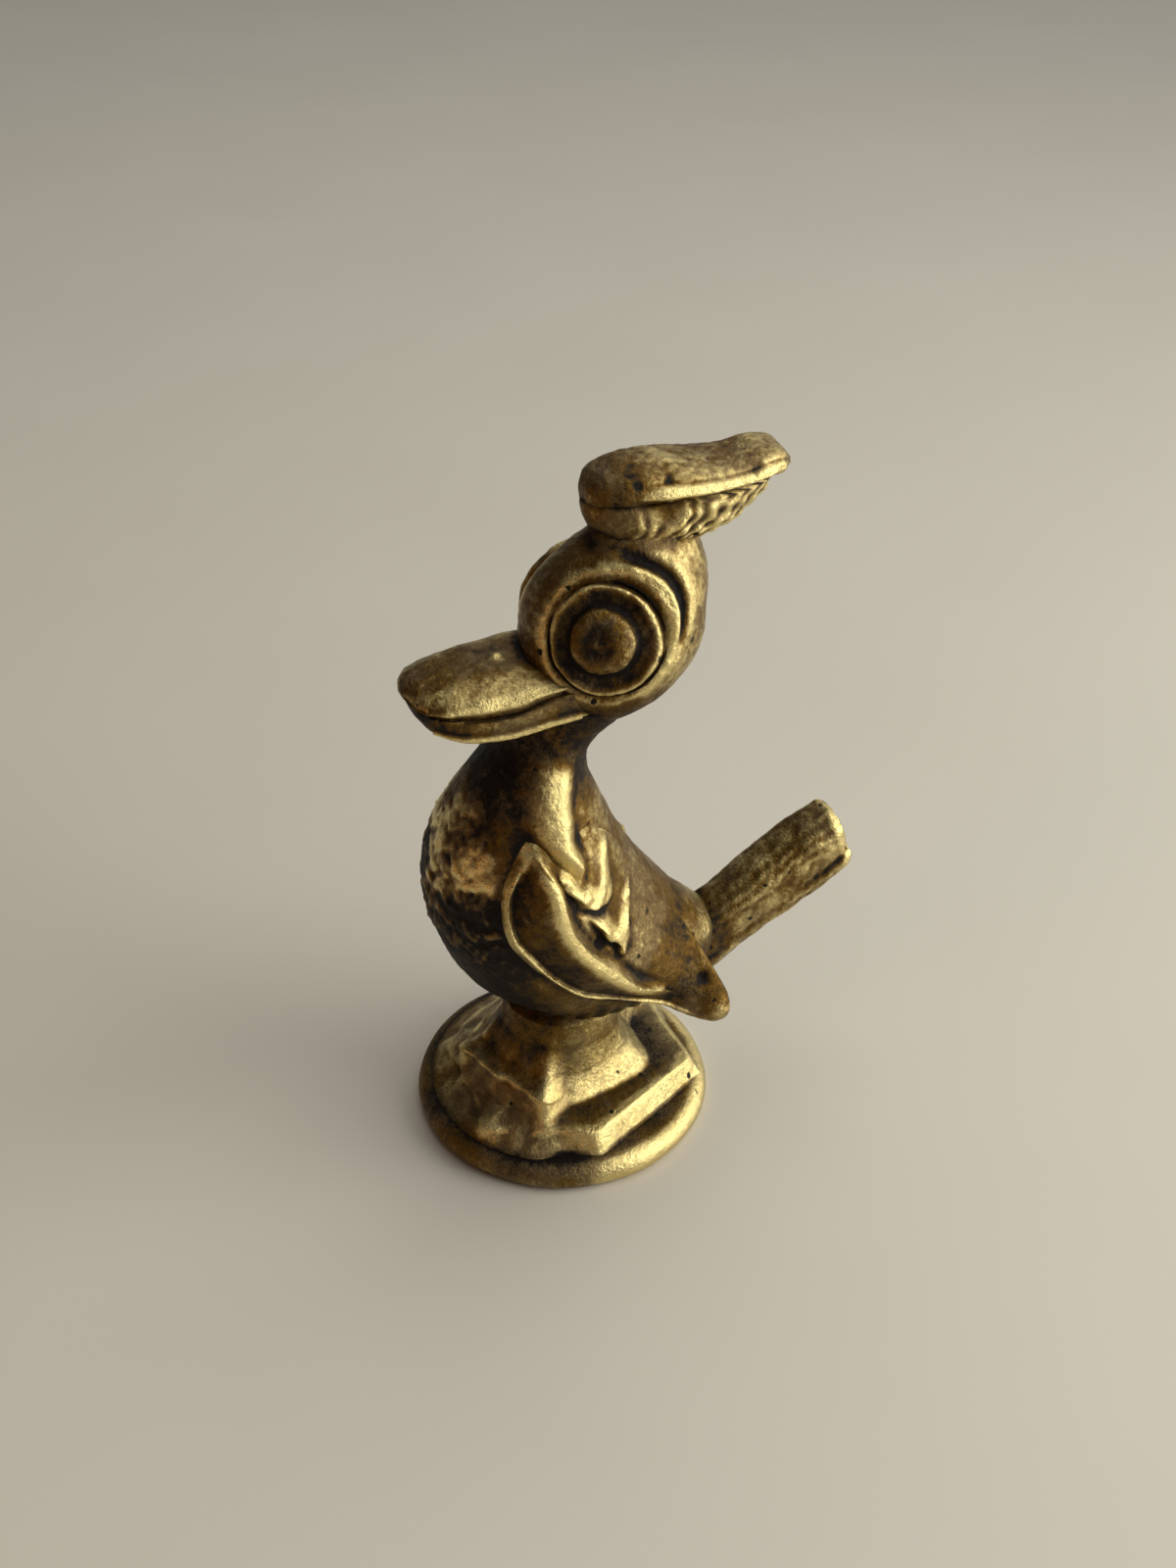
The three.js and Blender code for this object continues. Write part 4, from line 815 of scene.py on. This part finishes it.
# Share of the height, then front and back from the head's centre, then half width
BAND = [[0, -1.7, 6.6, 2.6], [0.3, -2, 9.2, 3], [0.6, -2.2, 11.2, 3.1], [1, -2.3, 12.6, 3]]
BAND_KNOBS = 29
PLUME_START, PLUME_LENGTH, PLUME_SQUARENESS = -2.3, 16.2, 0.7
# Share of the length, then top and underside over the collar, then half width
PLUME = [
    [0, 1.4, -0.2, 0.9], [0.04, 1.95, -0.4, 2], [0.12, 2.45, -0.4, 2.8], [0.3, 2.75, -0.3, 3.3],
    [0.5, 2.45, -0.3, 3.3], [0.7, 2.3, -0.2, 2.9], [0.87, 2.6, 0, 2.4], [0.95, 2.2, 0.1, 1.8],
    [1, 1.15, 0.4, 0.6],
]
# Casting flaws on the left side: way back along the plume, height over the collar, width
PLUME_FLAWS = [[3.2, 1.9, 0.6], [5.6, 2.1, 0.4], [12.4, 1.7, 0.45]]


def band_points(share, turn):
    """An oval at each height, from front to back by the cosine and out to the half width by the sine.
    The lowest one slopes down to the back, the highest is level."""
    front, back, half = [through(BAND, k, share) for k in (1, 2, 3)]
    y = HEAD_Y + (front + back) / 2 - (back - front) / 2 * np.cos(turn)
    z = (BAND_LOW + np.cos(turn)) * (1 - share) + BAND_TOP * share
    return joined(half * np.sin(turn), y, z)


def plume_points(share, turn):
    """A squared oval at each share of the length, between the top and the underside."""
    eased = share - np.sin(2 * np.pi * share) / 12
    top, under, half = [through(PLUME, k, eased) for k in (1, 2, 3)]
    x = half * squared(np.sin(turn), PLUME_SQUARENESS)
    z = BAND_TOP + (top + under) / 2 + (top - under) / 2 * squared(np.cos(turn), PLUME_SQUARENESS)
    return joined(x, HEAD_Y + PLUME_START + eased * PLUME_LENGTH, z)


band_share, band_turn = grid(110, 400)
band = band_points(band_share, band_turn)
knob = np.cos(BAND_KNOBS * band_turn + 2 * band_share + 1.3 * waves(band, 3, 81))
rear = smooth(1 - np.cos(band_turn), 0.25, 0.9)
lumps = (0.1 * knob + 0.08 * waves(band, 1.2, 82)) * rear * np.sin(np.pi * band_share) ** 0.6
# The collar's lower and upper edges, against the head and the plume, are darkened: dirt and painted
# shade. Its rear, towards the window lamp, is rubbed bright, the knobs most: wear and a painted
# highlight.
band_film_and_light = 0.4 * bump(band_share, 0.12) + 0.3 * bump(1 - band_share, 0.1)
band_film_and_light = band_film_and_light - rear * (0.4 + 0.3 * knob) + 0.2
casting("crest_band", raised(band, lumps + cast_skin(band, 83)), band_film_and_light)

plume_share, plume_turn = grid(220, 260)
plume = plume_points(plume_share, plume_turn)
side = np.cos(plume_turn)
lengthwise = smooth(plume[..., 1], HEAD_Y + 0.5, HEAD_Y + 3)
tip_at = HEAD_Y + PLUME_START + PLUME_LENGTH
before_tip = 1 - 0.85 * smooth(plume[..., 1], tip_at - 3, tip_at - 0.5)
bead = bump(side + 0.1, 0.17) * lengthwise * before_tip
gap = bump(side + 0.42, 0.15) * lengthwise
flaws = 0
for back, height, width in PLUME_FLAWS:
    along_plume = plume[..., 1] - HEAD_Y - PLUME_START - back
    to_flaw = np.hypot(along_plume, plume[..., 2] - BAND_TOP - height)
    flaws += bump(to_flaw + 0.12 * waves(plume, 0.9, 85), width) * smooth(plume[..., 0], 0, 1)
plume_relief = 0.35 * bead - 0.3 * gap - 0.1 * flaws - 0.1 * bump(side - 0.25, 0.15) * lengthwise - 0.12
# The plume's front end, by the collar, is darkened: dirt and painted shade
plume_film_and_shade = 0.4 * gap - 0.6 * bead + 0.25 * (1 - lengthwise)
# Painted shade: the plume's underside is darker
plume_film_and_shade += 0.35 * smooth(-side, 0.55, 0.8) + 0.4 * flaws
casting("crest_plume", raised(plume, plume_relief + cast_skin(plume, 84, 1.2)), plume_film_and_shade)


# %% [markdown]
# Brass is an alloy of copper and zinc. Cast, filed and handled for years, it is bright where fingers
# rub it, golden brown where a thin film has grown, and nearly black in hollows where dirt and oxide
# stay. A single colour could not show that, so the colour follows the depth of each hollow, the seams
# and cloudy patches of tarnish, with small casting pits on top. The same colours also carry painted
# shade and painted highlights, set piece by piece.

# %% Colour and node helpers
def linear(code):
    """An sRGB hex code as linear light: below 0.04045 divided by 12.92, above by the 2.4 power."""
    value = np.array([int(code[i:i + 2], 16) for i in (0, 2, 4)]) / 255
    return (*np.where(value < 0.04045, value / 12.92, ((value + 0.055) / 1.055) ** 2.4).tolist(), 1.0)


def node(tree, kind, inputs=(), **settings):
    """One node: its settings, then each input as a constant or as the output that feeds it."""
    new = tree.nodes.new(kind)
    for name, value in settings.items():
        setattr(new, name, value)
    for socket, value in dict(inputs).items():
        if isinstance(value, bpy.types.NodeSocket):
            tree.links.new(value, new.inputs[socket])
        else:
            new.inputs[socket].default_value = value
    return new


def weighted(tree, start, terms):
    """A start value plus each output times its weight."""
    total = start
    for output, weight in terms:
        step = node(tree, "ShaderNodeMath", {0: output, 1: weight, 2: total}, operation="MULTIPLY_ADD")
        total = step.outputs[0]
    return total


# Brass that hands rub bright, also the colour of painted highlights, and the dirt in its hollows, also
# the colour of painted shade
BRIGHT, DIRT_AND_SHADE = "E2CE8E", "120A04"
print("bright brass in linear light:", [round(v, 3) for v in linear(BRIGHT)])


# %% Casting pits
# Spacing of the pits, and the size and reach of the noise that frays them, in mm
PIT_SPACING, FRAY_SIZE, FRAY_REACH = 1.5, 0.9, 0.8
# The share of cells without a pit, and the widest pit's radius and its soft edge in cells
NO_PIT, PIT_RADIUS, PIT_EDGE = 0.4, 0.23, 0.08


def casting_pits(tree, place):
    """Round dark pits up to about 0.7 mm wide: cells of which three in five hold a pit, with its edge
    made ragged by fine noise."""
    fray = node(tree, "ShaderNodeTexNoise", {
        "Vector": place, "Scale": 1 / (FRAY_SIZE * MM), "Detail": 4, "Roughness": 0.7})
    stray = node(tree, "ShaderNodeVectorMath", {
        0: fray.outputs["Color"], 1: (FRAY_REACH * MM,) * 3, 2: place}, operation="MULTIPLY_ADD")
    cell = node(tree, "ShaderNodeTexVoronoi", {
        "Vector": stray.outputs[0], "Scale": 1 / (PIT_SPACING * MM)})
    chance = node(tree, "ShaderNodeSeparateColor", {"Color": cell.outputs["Color"]}).outputs["Red"]
    radius = node(tree, "ShaderNodeMapRange", {
        "Value": chance, "From Min": NO_PIT, "From Max": 1, "To Min": 0, "To Max": PIT_RADIUS}).outputs[0]
    depth = node(tree, "ShaderNodeMath", {0: radius, 1: cell.outputs["Distance"]}, operation="SUBTRACT")
    return node(tree, "ShaderNodeMapRange", {
        "Value": depth.outputs[0], "From Min": 0, "From Max": PIT_EDGE,
    }, interpolation_type="SMOOTHSTEP").outputs[0]


# %% Aged cast brass
# Widths of the film's patches in mm: clouds, mottling, stipple and places where it is greyed
PATCHES = 5, 0.9, 0.25, 7


def aged_brass(name, film, oxide, tarnish, polish):
    """Cast brass with its film. `tarnish` is how much of it is dulled, `polish` its least roughness."""
    material = bpy.data.materials.new(name)
    material.use_nodes = True
    tree = material.node_tree
    shader = tree.nodes["Principled BSDF"]
    place = node(tree, "ShaderNodeTexCoord").outputs["Object"]
    hollow, film_and_painted_light = [node(tree, "ShaderNodeAttribute", attribute_name=field).outputs["Fac"]
                       for field in ("hollow", "film_and_painted_light")]
    cloud, mottle, stipple, haze = [node(tree, "ShaderNodeTexNoise", {
        "Vector": place, "Scale": 1 / (size * MM), "Detail": 5, "Roughness": 0.66,
    }).outputs["Fac"] for size in PATCHES]
    in_pit = casting_pits(tree, place)
    # Film grows in hollows, along seams and in clouds with frayed edges; each piece's painted shade and
    # painted highlights come in with it
    film_and_light = weighted(tree, tarnish - 1.2, [
        (hollow, 3.4), (film_and_painted_light, 1), (cloud, 0.8), (mottle, 0.7), (stipple, 0.8)])
    # Each value, where it starts and ends to count, and what it gives at both ends
    rubbed_and_highlit, dirt_and_shade, roughness, greyed = [node(tree, "ShaderNodeMapRange", {
        "Value": value, "From Min": low, "From Max": high, "To Min": first, "To Max": last,
    }, interpolation_type="SMOOTHSTEP").outputs[0] for value, low, high, first, last in (
        (film_and_light, -0.2, 0.55, 1, 0), (film_and_light, 0.5, 1, 0, 1), (film_and_light, -0.3, 1.1, polish, 0.62),
        (haze, 0.48, 0.56, 0, 1))]
    dark = node(tree, "ShaderNodeMath", {0: dirt_and_shade, 1: in_pit}, operation="MAXIMUM").outputs[0]
    metal = node(tree, "ShaderNodeMapRange", {
        "Value": dark, "To Min": 1, "To Max": 0.6}, interpolation_type="SMOOTHSTEP").outputs[0]
    # Over the film's tone lie grey oxide, bright brass where hands rub it and where highlights are
    # painted, and dirt in the hollows, which also gives the painted shade
    colour = linear(film)
    for factor, over in ((greyed, oxide), (rubbed_and_highlit, BRIGHT), (dark, DIRT_AND_SHADE)):
        colour = node(tree, "ShaderNodeMix", {
            "Factor": factor, 6: colour, 7: linear(over)}, data_type="RGBA").outputs[2]
    height = weighted(tree, 0.0, [(in_pit, -0.8), (mottle, 1.5), (stipple, 1.1)])
    uneven = node(tree, "ShaderNodeBump", {"Height": height, "Strength": 0.8, "Distance": 0.12 * MM})
    for socket, output in (("Base Color", colour), ("Roughness", roughness), ("Metallic", metal),
                           ("Normal", uneven.outputs["Normal"])):
        tree.links.new(output, shader.inputs[socket])
    return material


materials = {
    "bird_brass": aged_brass("aged cast brass", "6B5125", "766242", 0.42, 0.22),
    "base_brass": aged_brass("aged cast brass, handled base", "745B2C", "7A6848", 0.35, 0.19),
}
for piece, slot in skins:
    piece.data.materials.append(materials[slot])
print("materials:", [material.name for material in materials.values()])


# %% [markdown]
# The stage is a pale painted table, a wide soft lamp on the photograph's right like a window, two
# weaker lamps, and a room that is lighter on that side. Polished metal shows what stands round it, so
# the darker side of the room gives the bird its dark left edge.

# %% Floor
FLOOR_HALF = 1.5
floor_mesh = bpy.data.meshes.new("floor")
corners = [(FLOOR_HALF * x, FLOOR_HALF * y, 0) for x, y in ((-1, -1), (1, -1), (1, 1), (-1, 1))]
floor_mesh.from_pydata(corners, [], [(0, 1, 2, 3)])
floor = bpy.data.objects.new("floor", floor_mesh)
bpy.context.scene.collection.objects.link(floor)
paint = bpy.data.materials.new("matt painted board")
paint.use_nodes = True
board = paint.node_tree
board_place = node(board, "ShaderNodeTexCoord").outputs["Object"]
mottle = node(board, "ShaderNodeTexNoise", {"Vector": board_place, "Scale": 1 / (40 * MM), "Detail": 3})
board_tone = node(board, "ShaderNodeMix", {
    "Factor": mottle.outputs["Fac"], 6: linear("CFCBC0"), 7: linear("D6D3C9")}, data_type="RGBA")
board_shader = board.nodes["Principled BSDF"]
board.links.new(board_tone.outputs[2], board_shader.inputs["Base Color"])
board_shader.inputs["Roughness"].default_value = 0.6
floor_mesh.materials.append(paint)
print("floor:", floor_mesh.name)


# %% Camera
def put(thing, axes, place):
    """Puts an object into the scene, with its three axes and its place in metres."""
    pose = np.eye(4)
    pose[:3, :3] = np.column_stack(axes)
    pose[:3, 3] = place
    thing.matrix_world = Matrix(pose.tolist())
    bpy.context.scene.collection.objects.link(thing)


AZIMUTH, PITCH = np.radians([70, 34.85])
BACK = np.array([np.sin(AZIMUTH) * np.cos(PITCH), -np.cos(AZIMUTH) * np.cos(PITCH), np.sin(PITCH)])
RIGHT = np.array([np.cos(AZIMUTH), np.sin(AZIMUTH), 0])
UP = np.cross(BACK, RIGHT)
# The picture's size, the lens and the place of the base's centre in pixels, and the scale there
PICTURE, LENS_PIXELS, BASE_PIXEL = np.array([1200, 1600]), 1800, np.array([574, 1106])
PIXELS_PER_MM, SENSOR = 11.46, 36
RANGE = LENS_PIXELS / PIXELS_PER_MM
aside, down = (BASE_PIXEL - PICTURE / 2) / LENS_PIXELS * RANGE
eye_point = -(aside * RIGHT - down * UP - RANGE * BACK) * MM
camera = bpy.data.objects.new("camera", bpy.data.cameras.new("camera"))
put(camera, (RIGHT, UP, BACK), eye_point)
camera.data.sensor_width = SENSOR
camera.data.lens = SENSOR * LENS_PIXELS / PICTURE[1]
camera.data.clip_start = 0.005
bpy.context.scene.camera = camera
print("camera at", (eye_point / MM).round(1), "mm, lens", camera.data.lens)


# %% Light
def soft_lamp(name, aside, up, back, size, watts, tint):
    """A square lamp that looks at the bird's middle. Its place is given along the picture's right, up
    and towards the camera, in mm."""
    middle = np.array([0, 2, 28])
    toward = aside * RIGHT + back * np.cross(RIGHT, [0, 0, 1]) + np.array([0, 0, up])
    lamp = bpy.data.objects.new(name, bpy.data.lights.new(name, "AREA"))
    lamp.data.size = size * MM
    lamp.data.energy = watts
    lamp.data.color = linear(tint)[:3]
    away = toward / norm(toward)
    level = np.cross([0, 0, 1], away)
    level = level / norm(level)
    put(lamp, (level, np.cross(away, level), away), (middle + toward) * MM)
    print(f"{name}: {size} mm wide, {norm(toward):.0f} mm away")


soft_lamp("window", 300, 105, 50, 260, 0.9, "FFFBF2")
soft_lamp("table lamp", -220, 60, 160, 50, 0.06, "FFAC5C")
soft_lamp("ceiling", 80, 420, -160, 320, 0.5, "FFF8EA")

world = bpy.data.worlds.new("room")
world.use_nodes = True
room = world.node_tree
way = node(room, "ShaderNodeTexCoord").outputs["Generated"]
window_way = 0.72 * RIGHT - 0.3 * BACK + np.array([0, 0, 0.6])
toward_window = node(room, "ShaderNodeVectorMath", {
    0: way, 1: tuple(window_way.tolist())}, operation="DOT_PRODUCT")
lit = node(room, "ShaderNodeMapRange", {
    "Value": toward_window.outputs["Value"], "From Min": -0.3, "From Max": 0.95,
}, interpolation_type="SMOOTHSTEP")
walls = node(room, "ShaderNodeMix", {
    "Factor": lit.outputs[0], 6: linear("211D19"), 7: linear("D6D4CF")}, data_type="RGBA")
room.links.new(walls.outputs[2], room.nodes["Background"].inputs["Color"])
bpy.context.scene.world = world
bpy.context.scene.view_settings.view_transform = "Standard"
